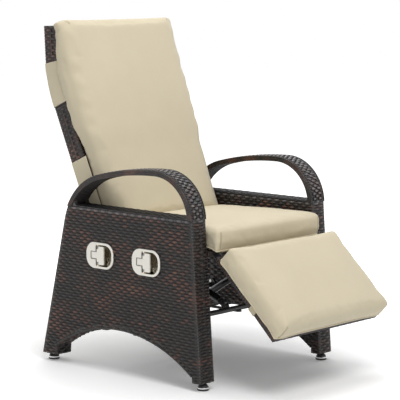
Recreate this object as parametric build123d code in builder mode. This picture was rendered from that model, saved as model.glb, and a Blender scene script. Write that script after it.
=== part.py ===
from build123d import *
from math import asin, atan2, cos, degrees, pi, radians, sin, sqrt, tan
import os

# Reclining garden armchair. Two woven side frames with arm loops carry a seat between them, a back that
# reclines and a footrest that swings up. Two lockable gas springs hold them, and two pull handles in the
# sitter's right side release the springs.
# X runs across the seat, the sitter faces -Y, Z is up from the floor. While the chair is laid out, Y is
# measured from the front feet; save() moves each finished piece so that the chair's middle is at the origin.

os.makedirs("parts", exist_ok=True)

# Driving sizes of the whole chair
overall_width = 620
panel_thickness = 65
arm_height = 635
seat_deck_top = 404
back_top_height = 1045

# Clearances
side_gap = 2
soft_gap = 0.3
running_fit = 0.05
slip_fit = 0.25
overrun = 40

# Side panel outline, seen from the side
arm_peak_depth = 157
crown_radius = 992
crown_angle = 14
shoulder_radius = 206
rear_rake = 13.6
front_radius = 145
front_rake = 4.3
panel_foot_height = 22
arch_middle_share = 0.5155
arch_peak_height = 138
arch_front_rise = 97.5
rear_leg_width = 70
front_leg_width = 38
arm_band = 16
rail_drop = 130
arm_loop_corner = 12
weave_wall = 2
weave_edge_radius = 5

# Tubes of the frames
tube_wall = 1.5
square_tube = 11.5
cross_tube_radius = 5
post_front_depth = 100
post_rear_depth = 430
spacer_heights = (150, 330)

# Levelling feet
foot_radius = 17.5
foot_pad_height = 6
foot_ring_height = 4
foot_dome_height = 11.7
foot_stem_radius = 5
foot_stem_length = 30
foot_rear_setback = 22
foot_ring_land = 1.5
socket_height = 16
socket_length = 24

# Seat
deck_front_gap = 12
deck_thickness = 16
seat_slats = 3
seat_bolt_radius = 4
seat_bolt_head_radius = 6.5
seat_bolt_head = 4
seat_bolt_shares = (0.16, 0.84)
seat_spacer_radius = 10

# Stretchers and the rail that carries the footrest's gas spring
stretcher_height = 192
stretcher_radius = 8
stretcher_wall = 1.5
flange_radius = 20
flange_thickness = 4
flange_screw_circle = 13
flange_screw_radius = 2.5
flange_screw_length = 14
screw_head_radius = 4.5
screw_head_height = 2.5
rail_width = 20
rail_thickness = 4

# Hinges of the back and the footrest
hinge_side_inset = 21
hinge_plate = 4
hinge_eye_radius = 8
hinge_pin_radius = 4
hinge_bush_wall = 1.5
hinge_flange = 1
hinge_flange_radius = 7.5
hinge_head_radius = 7
hinge_head_height = 4
footrest_hinge_depth = -14
footrest_rest_angle = 43.9

# Back
back_thickness = 60
back_side_gap = 3
back_lean = 24
back_top_lean = 3
back_rear_depth = 660
back_bend_height = 800
back_bend_radius = 423
back_skin_start = 14
back_rungs_shares = (0.28, 0.62)

# Cushions
cushion_side_inset = 4
cushion_bulge = 4
cushion_draw = 5
seat_cushion_front = -32
seat_cushion_rear = 402
seat_cushion_height = 66
seat_crown = 8
cushion_end_drop = 7
cushion_end_inset = 7
cushion_shoulder = 14
back_cushion_low = 449
back_cushion_overhang = 24
back_cushion_front_depth = 407
back_cushion_front_height = 456
back_cushion_lean = 18.8
back_crown = 7
footrest_cushion_start = 25.6
footrest_cushion_end = 326
footrest_cushion_thickness = 60
footrest_crown = 6

# Straps
strap_thickness = 1.5
upper_strap_drop = 110
upper_strap_width = 135
lower_strap_rise = 104
lower_strap_width = 112
elastic_width = 26
elastic_thickness = 1.2
elastic_share = 0.64

# Footrest
footrest_frame_end = 318.6
footrest_slats = 2

# Gas springs
spring_radius = 11
spring_wall = 1.4
spring_eye_radius = 9
spring_eye_width = 10
spring_pin_radius = 4
spring_rod_radius = 4
spring_neck = 14
spring_gland = 8
piston_length = 10
ear_thickness = 4
ear_gap = 0.3
ear_foot_width = 26
pin_head_height = 2
release_head_length = 16
release_lever_length = 26
release_lever_thickness = 3
back_spring_across = -55
back_spring_front_depth = 112
back_spring_front_height = 214
back_lever_radius = 50
back_lever_angle = -46.5
back_eye_play = 2.3
back_eye_shift = (-1.3, 1.4)
back_cylinder_share = 0.7
back_piston_share = 0.8
footrest_spring_depth = 250
footrest_spring_height = 205
footrest_lever_along = 18
footrest_lever_down = 20
footrest_eye_play = 5.4
footrest_eye_shift = (-3.55, -3.5)
footrest_cylinder_share = 0.62
footrest_piston_share = 0.62
lever_rim = 5

# Pull handles in the sitter's right side panel
handle_drop = 146
handle_depths = {"back": 386.5, "footrest": 193}
bezel_length = 115
bezel_height = 80
bezel_corner_share = 0.425
bezel_thickness = 3
bezel_rim = 7
cup_inset = 4
cup_depth = 30
cup_wall = 2
paddle_front = 16
paddle_rear = 13
paddle_half_height = 28
paddle_thickness = 4
paddle_lip = 3
tab_length = 25
tab_half_height = 10
paddle_gap = 1.2
knuckle_offset = 12
knuckle_depth = 2
knuckle_radius = 3.1
knuckle_pin_radius = 1.5
knuckle_notch = 8
ear_block = 8
spring_wire = 0.4
spring_pitch = 1.3
spring_turns = 5
spring_coil_radius = 2.7

# Places worked out from the sizes above
panel_outer = overall_width / 2
panel_inner = panel_outer - panel_thickness
tube_skin_gap = weave_wall + slip_fit
tube_inset = tube_skin_gap + square_tube / 2
deck_middle = seat_deck_top - deck_thickness / 2
deck_bottom = seat_deck_top - deck_thickness
rail_height = arm_height - rail_drop
handle_height = rail_height - handle_drop
bezel_corner = bezel_height * bezel_corner_share
back_cushion_top = back_top_height + back_cushion_overhang
upper_strap_high = back_top_height - upper_strap_drop
upper_strap_low = upper_strap_high - upper_strap_width
lower_strap_low = seat_deck_top + lower_strap_rise
lower_strap_high = lower_strap_low + lower_strap_width
crown_centre = (arm_peak_depth, arm_height - crown_radius)


def on_circle(centre, radius, angle):
    """The point of a circle in a side view, at an angle in degrees above the rearward direction."""
    return (centre[0] + radius * cos(radians(angle)), centre[1] + radius * sin(radians(angle)))


shoulder_centre = on_circle(crown_centre, crown_radius - shoulder_radius, 90 - crown_angle)
front_centre = (arm_peak_depth, arm_height - front_radius)
rear_tangent = on_circle(shoulder_centre, shoulder_radius, rear_rake)
front_tangent = on_circle(front_centre, front_radius, 180 - front_rake)


def rear_edge(height, inset):
    """Depth of the side panel's straight rear edge at a height, brought inwards by an inset."""
    start = on_circle(shoulder_centre, shoulder_radius - inset, rear_rake)
    return start[0] + (start[1] - height) * tan(radians(rear_rake))


def front_edge(height, inset):
    """Depth of the side panel's straight front edge at a height, brought inwards by an inset."""
    start = on_circle(front_centre, front_radius - inset, 180 - front_rake)
    return start[0] - (start[1] - height) * tan(radians(front_rake))


heel_depth = rear_edge(panel_foot_height, 0)
toe_depth = front_edge(panel_foot_height, 0)
heel_inner = heel_depth - rear_leg_width
toe_inner = toe_depth + front_leg_width
arch_middle_depth = toe_inner + (heel_inner - toe_inner) * arch_middle_share
arch_front_span = arch_middle_depth - toe_inner
arch_radius = (arch_front_span**2 + arch_front_rise**2) / (2 * arch_front_rise)
arch_centre = (arch_middle_depth, arch_peak_height - arch_radius)
front_foot_depth = toe_depth + front_leg_width / 2
rear_foot_depth = heel_depth - foot_rear_setback


def arch_height(depth, inset):
    """Height of the arch under a side panel at a depth, raised by an inset."""
    return arch_centre[1] + sqrt((arch_radius + inset) ** 2 - (depth - arch_centre[0]) ** 2)


deck_front = footrest_hinge_depth + deck_front_gap
back_middle_offset = back_thickness / 2 / cos(radians(back_lean))
back_hinge_depth = (
    back_rear_depth - (back_bend_height - deck_middle) * tan(radians(back_lean)) - back_middle_offset
)
deck_rear = back_hinge_depth - deck_front_gap - weave_wall
deck_half_width = panel_inner - side_gap
hinge_across = deck_half_width - hinge_side_inset
cushion_half_width = deck_half_width - cushion_side_inset
back_half_width = panel_inner - back_side_gap
bend_centre = (
    back_rear_depth - back_bend_radius * cos(radians(back_lean)),
    back_bend_height + back_bend_radius * sin(radians(back_lean)),
)
hinges = {
    "back": (back_hinge_depth, deck_middle),
    "footrest": (footrest_hinge_depth, deck_middle),
}


def back_line(height, from_rear):
    """Depth of a line that follows the back's curve at a distance in front of its rear surface."""
    radius = back_bend_radius - from_rear
    low = on_circle(bend_centre, radius, -back_lean)
    high = on_circle(bend_centre, radius, -back_top_lean)
    if height < low[1]:
        return low[0] - (low[1] - height) * tan(radians(back_lean))
    if height > high[1]:
        return high[0] + (height - high[1]) * tan(radians(back_top_lean))
    return bend_centre[0] + sqrt(radius**2 - (height - bend_centre[1]) ** 2)


footrest_tip_height = deck_thickness / 2 + footrest_cushion_thickness - cushion_end_drop / 2
footrest_tip = footrest_hinge_depth - (
    footrest_cushion_end * cos(radians(footrest_rest_angle))
    + footrest_tip_height * sin(radians(footrest_rest_angle))
)
middle_depth = (back_line(back_top_height, 0) + footrest_tip) / 2
footrest_hinge_axis = Axis((0, footrest_hinge_depth, deck_middle), (1, 0, 0))


def save(piece, name, swung=False):
    """Label a finished piece, bring it to the shared origin and write it. The footrest's pieces are laid
    out level with the seat and swing down to their rest angle here."""
    finished = piece.part
    if swung:
        finished = finished.rotate(footrest_hinge_axis, footrest_rest_angle)
    finished = finished.moved(Location((0, -middle_depth, 0)))
    finished.label = name
    export_step(finished, f"parts/{name}.step")


def side_view(across):
    """The plane of a side view at a distance across: its first axis is +Y and its second is +Z."""
    return Plane.YZ.offset(across)


def mirrored(piece):
    """A copy of a piece for the other side of the chair."""
    with BuildPart() as other:
        add(mirror(piece.part, about=Plane.YZ))
    return other


def cross_holes(depth, height, across, length, radius):
    """Cut a round hole along X, centred at a distance across."""
    with BuildSketch(side_view(across - length / 2)) as hole:
        with Locations((depth, height)):
            Circle(radius)
    extrude(hole.sketch, amount=length, mode=Mode.SUBTRACT)


def hoop_edges(inset, bottom):
    """Edges from the rear heel up over the arm and down to the front toe, inset from the outer edge."""
    rear = on_circle(shoulder_centre, shoulder_radius - inset, rear_rake)
    shoulder = on_circle(crown_centre, crown_radius - inset, 90 - crown_angle)
    peak = (arm_peak_depth, arm_height - inset)
    front = on_circle(front_centre, front_radius - inset, 180 - front_rake)
    Line((rear_edge(bottom, inset), bottom), rear)
    shoulder_way = (rear_rake + 90 - crown_angle) / 2
    ThreePointArc(rear, on_circle(shoulder_centre, shoulder_radius - inset, shoulder_way), shoulder)
    ThreePointArc(shoulder, on_circle(crown_centre, crown_radius - inset, 90 - crown_angle / 2), peak)
    ThreePointArc(peak, on_circle(front_centre, front_radius - inset, 135 - front_rake / 2), front)
    Line(front, (front_edge(bottom, inset), bottom))


def panel_outline(inset, bottom):
    """Face of a side panel with its arch, brought in by an inset, its legs cut off at a height."""
    arch_rear = heel_inner + inset
    arch_front = toe_inner - inset
    front_end = (arch_front, arch_height(arch_front, inset))
    rear_end = (arch_rear, arch_height(arch_rear, inset))
    with BuildLine() as outline:
        hoop_edges(inset, bottom)
        Polyline((front_edge(bottom, inset), bottom), (arch_front, bottom), front_end)
        ThreePointArc(front_end, (arch_middle_depth, arch_height(arch_middle_depth, inset)), rear_end)
        Polyline(rear_end, (arch_rear, bottom), (rear_edge(bottom, inset), bottom))
    make_face(outline.edges())


def arm_loop(inset):
    """Face of the opening between the arm and the rail; an inset makes the opening larger."""
    band = arm_band - inset
    rail = rail_height - inset
    rear_reach = shoulder_radius - band
    front_reach = front_radius - band
    rear_end = (shoulder_centre[0] + sqrt(rear_reach**2 - (rail - shoulder_centre[1]) ** 2), rail)
    front_end = (front_centre[0] - sqrt(front_reach**2 - (rail - front_centre[1]) ** 2), rail)
    rear_angle = degrees(asin((rail - shoulder_centre[1]) / rear_reach))
    front_angle = 180 - degrees(asin((rail - front_centre[1]) / front_reach))
    shoulder = on_circle(crown_centre, crown_radius - band, 90 - crown_angle)
    shoulder_way = (rear_angle + 90 - crown_angle) / 2
    peak = (arm_peak_depth, arm_height - band)
    with BuildSketch() as loop:
        with BuildLine():
            ThreePointArc(rear_end, on_circle(shoulder_centre, rear_reach, shoulder_way), shoulder)
            ThreePointArc(shoulder, on_circle(crown_centre, crown_radius - band, 90 - crown_angle / 2), peak)
            ThreePointArc(peak, on_circle(front_centre, front_reach, (90 + front_angle) / 2), front_end)
            Line(front_end, rear_end)
        make_face()
        fillet(loop.vertices().group_by(Axis.Y)[0], radius=arm_loop_corner + inset)
    return loop.sketch


# Side frames: two bent tube hoops a side, joined by an arch tube, a rail, posts, spacers and foot sockets
inner_tube = panel_inner + tube_inset
outer_tube = panel_outer - tube_inset
panel_middle = (panel_inner + panel_outer) / 2
tube_foot = panel_foot_height + weave_wall
feet = {"front": front_foot_depth, "rear": rear_foot_depth}


def straight_tube(start, finish, radius, mode):
    """A straight round bar between two points of space, added or cut."""
    direction = Vector(*finish) - Vector(*start)
    with BuildSketch(Plane(origin=start, z_dir=direction)) as section:
        Circle(radius)
    extrude(section.sketch, amount=direction.length, mode=mode)


def side_ladder(wall, with_posts):
    """Side view of one plane of a side frame, its tubes thinner than full by a wall: hoop, arch and rail,
    and where asked the seat tube and the two posts under it."""
    outside = tube_skin_gap + wall
    inside = tube_skin_gap + square_tube - wall
    half = square_tube / 2 - wall
    with BuildSketch() as inner:
        panel_outline(inside, tube_foot - overrun)
        with Locations((arch_middle_depth, rail_height - inside)):
            Rectangle(2 * arch_radius, 2 * arch_radius, align=(Align.CENTER, Align.MIN), mode=Mode.SUBTRACT)
    with BuildSketch() as ladder:
        panel_outline(outside, tube_foot)
        add(arm_loop(outside), mode=Mode.SUBTRACT)
        add(inner.sketch, mode=Mode.SUBTRACT)
        if with_posts:
            front = front_edge(deck_middle, outside + half)
            rear = rear_edge(deck_middle, outside + half)
            with Locations(((front + rear) / 2, deck_middle)):
                Rectangle(rear - front, 2 * half)
            for depth in (post_front_depth, post_rear_depth):
                foot = arch_height(depth, outside + half)
                with Locations((depth, (foot + deck_middle) / 2)):
                    Rectangle(2 * half, deck_middle - foot)
    return ladder.sketch


def side_tubes(wall, mode):
    """Add or cut the tubes of a side frame: its two planes and the spacers between them."""
    for across, with_posts in ((inner_tube, True), (outer_tube, False)):
        with BuildSketch(side_view(across - square_tube / 2 + wall)) as placed:
            add(side_ladder(wall, with_posts))
        extrude(placed.sketch, amount=square_tube - 2 * wall, mode=mode)
    for height in spacer_heights:
        for edge in (front_edge, rear_edge):
            with BuildSketch(side_view(inner_tube)) as spacer:
                with Locations((edge(height, tube_inset), height)):
                    Circle(cross_tube_radius - wall)
            extrude(spacer.sketch, amount=outer_tube - inner_tube, mode=mode)


def seat_bolt_places():
    """Depths of the seat's side bolts."""
    return [deck_front + share * (deck_rear - deck_front) for share in seat_bolt_shares]


def flange_screw_places(depth):
    """Depth and height of the two screws of a stretcher's flange."""
    return [(depth, stretcher_height + way * flange_screw_circle) for way in (-1, 1)]


with BuildPart() as side_frame_left:
    side_tubes(0, Mode.ADD)
    side_tubes(tube_wall, Mode.SUBTRACT)
    for depth in feet.values():
        with BuildSketch(Plane.XY.offset(tube_foot)):
            with Locations((panel_middle, depth)):
                Rectangle(outer_tube - inner_tube, socket_length)
                Circle(foot_stem_radius + running_fit, mode=Mode.SUBTRACT)
        extrude(amount=socket_height)
    for depth in seat_bolt_places():
        cross_holes(depth, deck_middle, inner_tube, overrun, seat_bolt_radius + slip_fit)
    for depth in (post_front_depth, post_rear_depth):
        for screw_depth, screw_height in flange_screw_places(depth):
            cross_holes(screw_depth, screw_height, inner_tube, overrun, flange_screw_radius + running_fit)
side_frame_right = mirrored(side_frame_left)
save(side_frame_left, "side_frame_left")
save(side_frame_right, "side_frame_right")

# Woven skins of the sides: hollow, open under the legs
with BuildPart() as side_weave_left:
    with BuildSketch(side_view(panel_inner)):
        panel_outline(0, panel_foot_height)
        add(arm_loop(0), mode=Mode.SUBTRACT)
    extrude(amount=panel_thickness)
    rims = side_weave_left.edges().filter_by(Plane.YZ)
    upper_rims = [edge for edge in rims if (edge @ 0.5).Z > arch_peak_height + weave_edge_radius]
    fillet(upper_rims, radius=weave_edge_radius)
    with BuildSketch(side_view(panel_inner + weave_wall)):
        panel_outline(weave_wall, panel_foot_height - overrun)
        add(arm_loop(weave_wall), mode=Mode.SUBTRACT)
    extrude(amount=panel_thickness - 2 * weave_wall, mode=Mode.SUBTRACT)
    for depth in seat_bolt_places():
        cross_holes(depth, deck_middle, panel_inner, 4 * weave_wall, seat_bolt_radius + slip_fit)
    for depth in (post_front_depth, post_rear_depth):
        for screw_depth, screw_height in flange_screw_places(depth):
            bore = flange_screw_radius + slip_fit
            cross_holes(screw_depth, screw_height, panel_inner, 4 * weave_wall, bore)
save(side_weave_left, "side_weave_left")

cup_length = bezel_length - 2 * cup_inset
cup_height = bezel_height - 2 * cup_inset
cup_corner = bezel_corner - cup_inset
with BuildPart() as side_weave_right:
    add(mirror(side_weave_left.part, about=Plane.YZ))
    with BuildSketch(side_view(-panel_outer - weave_wall)):
        with Locations(*[(depth, handle_height) for depth in handle_depths.values()]):
            RectangleRounded(cup_length + 2 * slip_fit, cup_height + 2 * slip_fit, cup_corner)
    extrude(amount=3 * weave_wall, mode=Mode.SUBTRACT)
save(side_weave_right, "side_weave_right")

# Levelling feet: a pad and dome on a threaded stem, with a bright ring let into the pad
foot_top = foot_pad_height + foot_ring_height + foot_dome_height
for side, across in (("left", panel_middle), ("right", -panel_middle)):
    for end, depth in feet.items():
        section = Plane(origin=(across, depth, 0), x_dir=(1, 0, 0), z_dir=(0, -1, 0))
        land = foot_radius - foot_ring_land
        with BuildPart() as foot:
            with BuildSketch(section):
                with BuildLine():
                    Polyline(
                        (0, 0),
                        (foot_radius - foot_ring_land, 0),
                        (foot_radius, foot_ring_land),
                        (foot_radius, foot_pad_height),
                        (land, foot_pad_height),
                        (land, foot_pad_height + foot_ring_height),
                    )
                    dome_foot = (land, foot_pad_height + foot_ring_height)
                    RadiusArc(dome_foot, (foot_stem_radius, foot_top), -foot_radius)
                    Polyline(
                        (foot_stem_radius, foot_top),
                        (foot_stem_radius, foot_top + foot_stem_length),
                        (0, foot_top + foot_stem_length),
                        (0, 0),
                    )
                make_face()
            revolve(axis=Axis((across, depth, 0), (0, 0, 1)))
        save(foot, f"foot_{end}_{side}")
        with BuildPart() as foot_ring:
            with BuildSketch(Plane.XY.offset(foot_pad_height)):
                with Locations((across, depth)):
                    Circle(foot_radius)
                    Circle(land + running_fit, mode=Mode.SUBTRACT)
            extrude(amount=foot_ring_height)
            upper_rim = foot_ring.edges().group_by(Axis.Z)[-1].sort_by(SortBy.RADIUS)[-1]
            chamfer(upper_rim, length=foot_ring_land / 2)
        save(foot_ring, f"foot_ring_{end}_{side}")


def woven_box(front, rear, half_width, bottom, top):
    """A closed hollow woven skin round a flat frame."""
    with BuildSketch(Plane.XY.offset(bottom)) as outside:
        with Locations((0, (front + rear) / 2)):
            Rectangle(2 * half_width, rear - front)
    outer = extrude(outside.sketch, amount=top - bottom)
    fillet(outer.edges().filter_by(Axis.X) + outer.edges().filter_by(Axis.Y), radius=weave_wall)
    with BuildSketch(Plane.XY.offset(bottom + weave_wall)) as inside:
        with Locations((0, (front + rear) / 2)):
            Rectangle(2 * (half_width - weave_wall), rear - front - 2 * weave_wall)
    extrude(inside.sketch, amount=top - bottom - 2 * weave_wall, mode=Mode.SUBTRACT)


def ladder_frame(front, rear, half_width, slats, wall, mode):
    """Square tubes round a rectangle with slats across it, as bars thinner than the tube by a wall."""
    bar = square_tube - 2 * wall
    inset = weave_wall + slip_fit + square_tube / 2
    across = half_width - inset
    ends = (front + inset, rear - inset)
    with BuildSketch(Plane.XY.offset(deck_middle - bar / 2)) as ladder:
        with Locations((0, (ends[0] + ends[1]) / 2)):
            Rectangle(2 * across + bar, ends[1] - ends[0] + bar)
            Rectangle(2 * across - bar, ends[1] - ends[0] - bar, mode=Mode.SUBTRACT)
        for number in range(1, slats + 1):
            with Locations((0, ends[0] + (ends[1] - ends[0]) * number / (slats + 1))):
                Rectangle(2 * across, bar)
    extrude(ladder.sketch, amount=bar, mode=mode)


def hinge_plate_outline(hinge, reach):
    """A side view of a hinge plate: an eye at the hinge and an arm that reaches along Y from it."""
    with BuildSketch(side_view(0)) as outline:
        with Locations(hinge):
            Circle(hinge_eye_radius)
        with Locations((hinge[0] + reach / 2, hinge[1])):
            Rectangle(abs(reach), square_tube)
        with Locations(hinge):
            Circle(hinge_pin_radius + running_fit, mode=Mode.SUBTRACT)
    return outline.sketch


def add_hinge_plates(profile, across, thickness):
    """Extrude one side view into a plate on each side of the chair, from a distance across outwards."""
    for start, way in ((across, 1), (-across, -1)):
        extrude(profile.moved(Location((start, 0, 0))), amount=way * thickness, dir=(1, 0, 0))


# Seat: square tube frame with the fixed hinge plates, its woven deck, bolts and spacers
frame_reach = deck_front_gap + weave_wall + slip_fit
with BuildPart() as seat_frame:
    ladder_frame(deck_front, deck_rear, deck_half_width, seat_slats, 0, Mode.ADD)
    ladder_frame(deck_front, deck_rear, deck_half_width, seat_slats, tube_wall, Mode.SUBTRACT)
    add_hinge_plates(hinge_plate_outline(hinges["footrest"], frame_reach), hinge_across, hinge_plate)
    back_reach_length = deck_rear - weave_wall - slip_fit - hinges["back"][0]
    add_hinge_plates(hinge_plate_outline(hinges["back"], back_reach_length), hinge_across, hinge_plate)
    for depth in seat_bolt_places():
        for way in (-1, 1):
            cross_holes(depth, deck_middle, way * deck_half_width, overrun, seat_bolt_radius + slip_fit)
save(seat_frame, "seat_frame")

with BuildPart() as seat_deck:
    woven_box(deck_front, deck_rear, deck_half_width, deck_bottom, seat_deck_top)
    for depth in seat_bolt_places():
        for way in (-1, 1):
            bore = seat_bolt_radius + slip_fit
            cross_holes(depth, deck_middle, way * deck_half_width, 4 * weave_wall, bore)
    for across in (hinge_across + hinge_plate / 2, -hinge_across - hinge_plate / 2):
        for depth in (deck_front, deck_rear):
            with BuildSketch(Plane.XY.offset(deck_middle - square_tube / 2 - slip_fit)):
                with Locations((across, depth)):
                    Rectangle(hinge_plate + 2 * slip_fit, 4 * weave_wall)
            extrude(amount=square_tube + 2 * slip_fit, mode=Mode.SUBTRACT)
save(seat_deck, "seat_deck")

bolt_start = deck_half_width - weave_wall - slip_fit - square_tube
bolt_finish = inner_tube + square_tube / 2
with BuildPart() as seat_bolts:
    for way in (-1, 1):
        for depth in seat_bolt_places():
            with BuildSketch(side_view(way * bolt_start)):
                with Locations((depth, deck_middle)):
                    Circle(seat_bolt_radius)
            extrude(amount=way * (bolt_finish - bolt_start))
            with BuildSketch(side_view(way * bolt_start)):
                with Locations((depth, deck_middle)):
                    RegularPolygon(seat_bolt_head_radius, 6)
            extrude(amount=-way * seat_bolt_head)
save(seat_bolts, "seat_bolts")

with BuildPart() as seat_spacers:
    for way in (-1, 1):
        for depth in seat_bolt_places():
            with BuildSketch(side_view(way * deck_half_width)):
                with Locations((depth, deck_middle)):
                    Circle(min(seat_spacer_radius, deck_thickness / 2 - weave_wall))
                    Circle(seat_bolt_radius + slip_fit, mode=Mode.SUBTRACT)
            extrude(amount=way * side_gap)
save(seat_spacers, "seat_spacers")

# Stretchers with end flanges, their screws, and the flat rail that joins them
for name, depth in (("front_stretcher", post_front_depth), ("rear_stretcher", post_rear_depth)):
    with BuildPart() as stretcher:
        with BuildSketch(side_view(-panel_inner)):
            with Locations((depth, stretcher_height)):
                Circle(stretcher_radius)
        extrude(amount=2 * panel_inner)
        for start, way in ((panel_inner, -1), (-panel_inner, 1)):
            with BuildSketch(side_view(start)):
                with Locations((depth, stretcher_height)):
                    Circle(flange_radius)
                with Locations(*flange_screw_places(depth)):
                    Circle(flange_screw_radius + slip_fit, mode=Mode.SUBTRACT)
            extrude(amount=way * flange_thickness)
        cross_holes(depth, stretcher_height, 0, 2 * panel_inner, stretcher_radius - stretcher_wall)
    save(stretcher, name)

with BuildPart() as flange_screws:
    for way in (-1, 1):
        head_face = panel_inner - flange_thickness
        for depth in (post_front_depth, post_rear_depth):
            for screw_depth, screw_height in flange_screw_places(depth):
                with BuildSketch(side_view(way * head_face)):
                    with Locations((screw_depth, screw_height)):
                        Circle(flange_screw_radius)
                extrude(amount=way * flange_screw_length)
                with BuildSketch(side_view(way * head_face)):
                    with Locations((screw_depth, screw_height)):
                        Circle(screw_head_radius)
                extrude(amount=-way * screw_head_height)
save(flange_screws, "flange_screws")

rail_top = stretcher_height - stretcher_radius
with BuildPart() as centre_rail:
    with BuildSketch(Plane.XY.offset(rail_top)):
        with Locations((0, (post_front_depth + post_rear_depth) / 2)):
            SlotOverall(post_rear_depth - post_front_depth + rail_width, rail_width, rotation=90)
    extrude(amount=-rail_thickness)
save(centre_rail, "centre_rail")


def hinge_bolts(hinge):
    """The two headed pins of a hinge, through the fixed plate and the bush of the moving plate."""
    inner_end = hinge_across - soft_gap - 2 * hinge_flange - hinge_plate - soft_gap
    with BuildPart() as bolts:
        for way in (-1, 1):
            with BuildSketch(side_view(way * inner_end)):
                with Locations(hinge):
                    Circle(hinge_pin_radius)
            extrude(amount=way * (hinge_across + hinge_plate - inner_end))
            with BuildSketch(side_view(way * (hinge_across + hinge_plate))):
                with Locations(hinge):
                    RegularPolygon(hinge_head_radius, 6)
            extrude(amount=way * hinge_head_height)
            with BuildSketch(side_view(way * inner_end)):
                with Locations(hinge):
                    RegularPolygon(hinge_head_radius, 6)
            extrude(amount=-way * hinge_head_height)
    return bolts


def hinge_bushes(hinge):
    """The flanged bushes that turn on a hinge's pins, seated in the moving plates."""
    face = hinge_across - soft_gap
    with BuildPart() as bushes:
        for way in (-1, 1):
            with BuildSketch(side_view(way * face)):
                with Locations(hinge):
                    Circle(hinge_flange_radius)
            extrude(amount=-way * hinge_flange)
            with BuildSketch(side_view(way * face)):
                with Locations(hinge):
                    Circle(hinge_pin_radius + hinge_bush_wall)
            extrude(amount=-way * (2 * hinge_flange + hinge_plate))
            cross_holes(hinge[0], hinge[1], way * face, overrun, hinge_pin_radius + running_fit)
    return bushes


def moving_plate_outline(hinge, along, reach):
    """A moving hinge plate in side view: an eye round the bush, and an arm in a direction in degrees."""
    with BuildSketch(side_view(0)) as outline:
        with Locations(hinge):
            Circle(hinge_eye_radius)
        with Locations(Location(hinge + (0,), (0, 0, along))):
            with Locations((reach / 2, 0)):
                Rectangle(reach, square_tube)
        with Locations(hinge):
            Circle(hinge_pin_radius + hinge_bush_wall, mode=Mode.SUBTRACT)
    return outline.sketch


save(hinge_bolts(hinges["back"]), "back_hinge_bolts")
save(hinge_bushes(hinges["back"]), "back_hinge_bushes")
save(hinge_bolts(hinges["footrest"]), "footrest_hinge_bolts")
save(hinge_bushes(hinges["footrest"]), "footrest_hinge_bushes", swung=True)
moving_plate_across = hinge_across - soft_gap - hinge_flange - hinge_plate


# Back: curved ladder of tubes, hollow woven shell round it, and two fabric straps
def back_point(from_hinge, from_rear):
    """A point of the back's straight lower part: distance up from the hinge and in front of the rear."""
    middle = back_thickness / 2 - from_rear
    lean = radians(back_lean)
    return (
        back_hinge_depth + from_hinge * sin(lean) + middle * cos(lean),
        deck_middle + from_hinge * cos(lean) - middle * sin(lean),
    )


def back_edges(from_rear, start, top):
    """Edges up one face of the back, from a distance above the hinge to a height."""
    radius = back_bend_radius - from_rear
    low = on_circle(bend_centre, radius, -back_lean)
    high = on_circle(bend_centre, radius, -back_top_lean)
    end = (back_line(top, from_rear), top)
    if top < low[1] + running_fit:
        Line(back_point(start, from_rear), end)
        return
    Line(back_point(start, from_rear), low)
    if top < high[1] + running_fit:
        end_lean = degrees(asin((bend_centre[1] - top) / radius))
        ThreePointArc(low, on_circle(bend_centre, radius, -(back_lean + end_lean) / 2), end)
        return
    ThreePointArc(low, on_circle(bend_centre, radius, -(back_lean + back_top_lean) / 2), high)
    Line(high, end)


def back_face(front_inset, rear_inset, start, top):
    """Side view between two of the back's offset faces, from a distance above the hinge to a height."""
    with BuildSketch() as section:
        with BuildLine():
            back_edges(rear_inset, start, top)
            back_edges(front_inset, start, top)
            Line((back_line(top, rear_inset), top), (back_line(top, front_inset), top))
            Line(back_point(start, rear_inset), back_point(start, front_inset))
        make_face()
    return section.sketch


def back_slab(front_inset, rear_inset, start, top, half_width, mode=Mode.ADD):
    """A slab that follows the back's curve between two of its offset faces."""
    with BuildSketch(side_view(-half_width)) as section:
        add(back_face(front_inset, rear_inset, start, top))
    return extrude(section.sketch, amount=2 * half_width, mode=mode)


back_tube_start = back_skin_start + tube_inset
back_tube_top = back_top_height - tube_inset
back_tube_lines = (tube_inset, back_thickness - tube_inset)
back_ladder_outer = back_half_width - weave_wall - slip_fit
back_ladder_middle = back_ladder_outer - square_tube / 2
back_rungs = [deck_middle + (back_top_height - deck_middle) * share for share in back_rungs_shares]


def back_ladders(wall, mode):
    """The two curved side ladders of the back frame, with bars thinner than the tube by a wall."""
    outside = weave_wall + slip_fit + wall
    inside = weave_wall + slip_fit + square_tube - wall
    half = square_tube / 2 - wall
    with BuildSketch() as ladder:
        low = back_skin_start + outside
        add(back_face(back_thickness - outside, outside, low, back_top_height - outside))
        add(
            back_face(back_thickness - inside, inside, back_skin_start + inside, back_top_height - inside),
            mode=Mode.SUBTRACT,
        )
        for height in back_rungs:
            with BuildLine():
                Polyline(
                    (back_line(height - half, back_tube_lines[0]), height - half),
                    (back_line(height + half, back_tube_lines[0]), height + half),
                    (back_line(height + half, back_tube_lines[1]), height + half),
                    (back_line(height - half, back_tube_lines[1]), height - half),
                    close=True,
                )
            make_face()
    for across in (-back_ladder_outer, back_ladder_outer - square_tube):
        with BuildSketch(side_view(across + wall)) as placed:
            add(ladder.sketch)
        extrude(placed.sketch, amount=square_tube - 2 * wall, mode=mode)


def back_cross_tubes(radius, mode):
    """The straight tubes between the two ladders of the back frame, added or cut."""
    ends = [back_point(back_tube_start, from_rear) for from_rear in back_tube_lines]
    ends += [(back_line(back_tube_top, from_rear), back_tube_top) for from_rear in back_tube_lines]
    ends += [(back_line(height, back_tube_lines[0]), height) for height in back_rungs]
    for depth, height in ends:
        straight_tube(
            (-back_ladder_middle, depth, height), (back_ladder_middle, depth, height), radius, mode
        )


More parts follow.
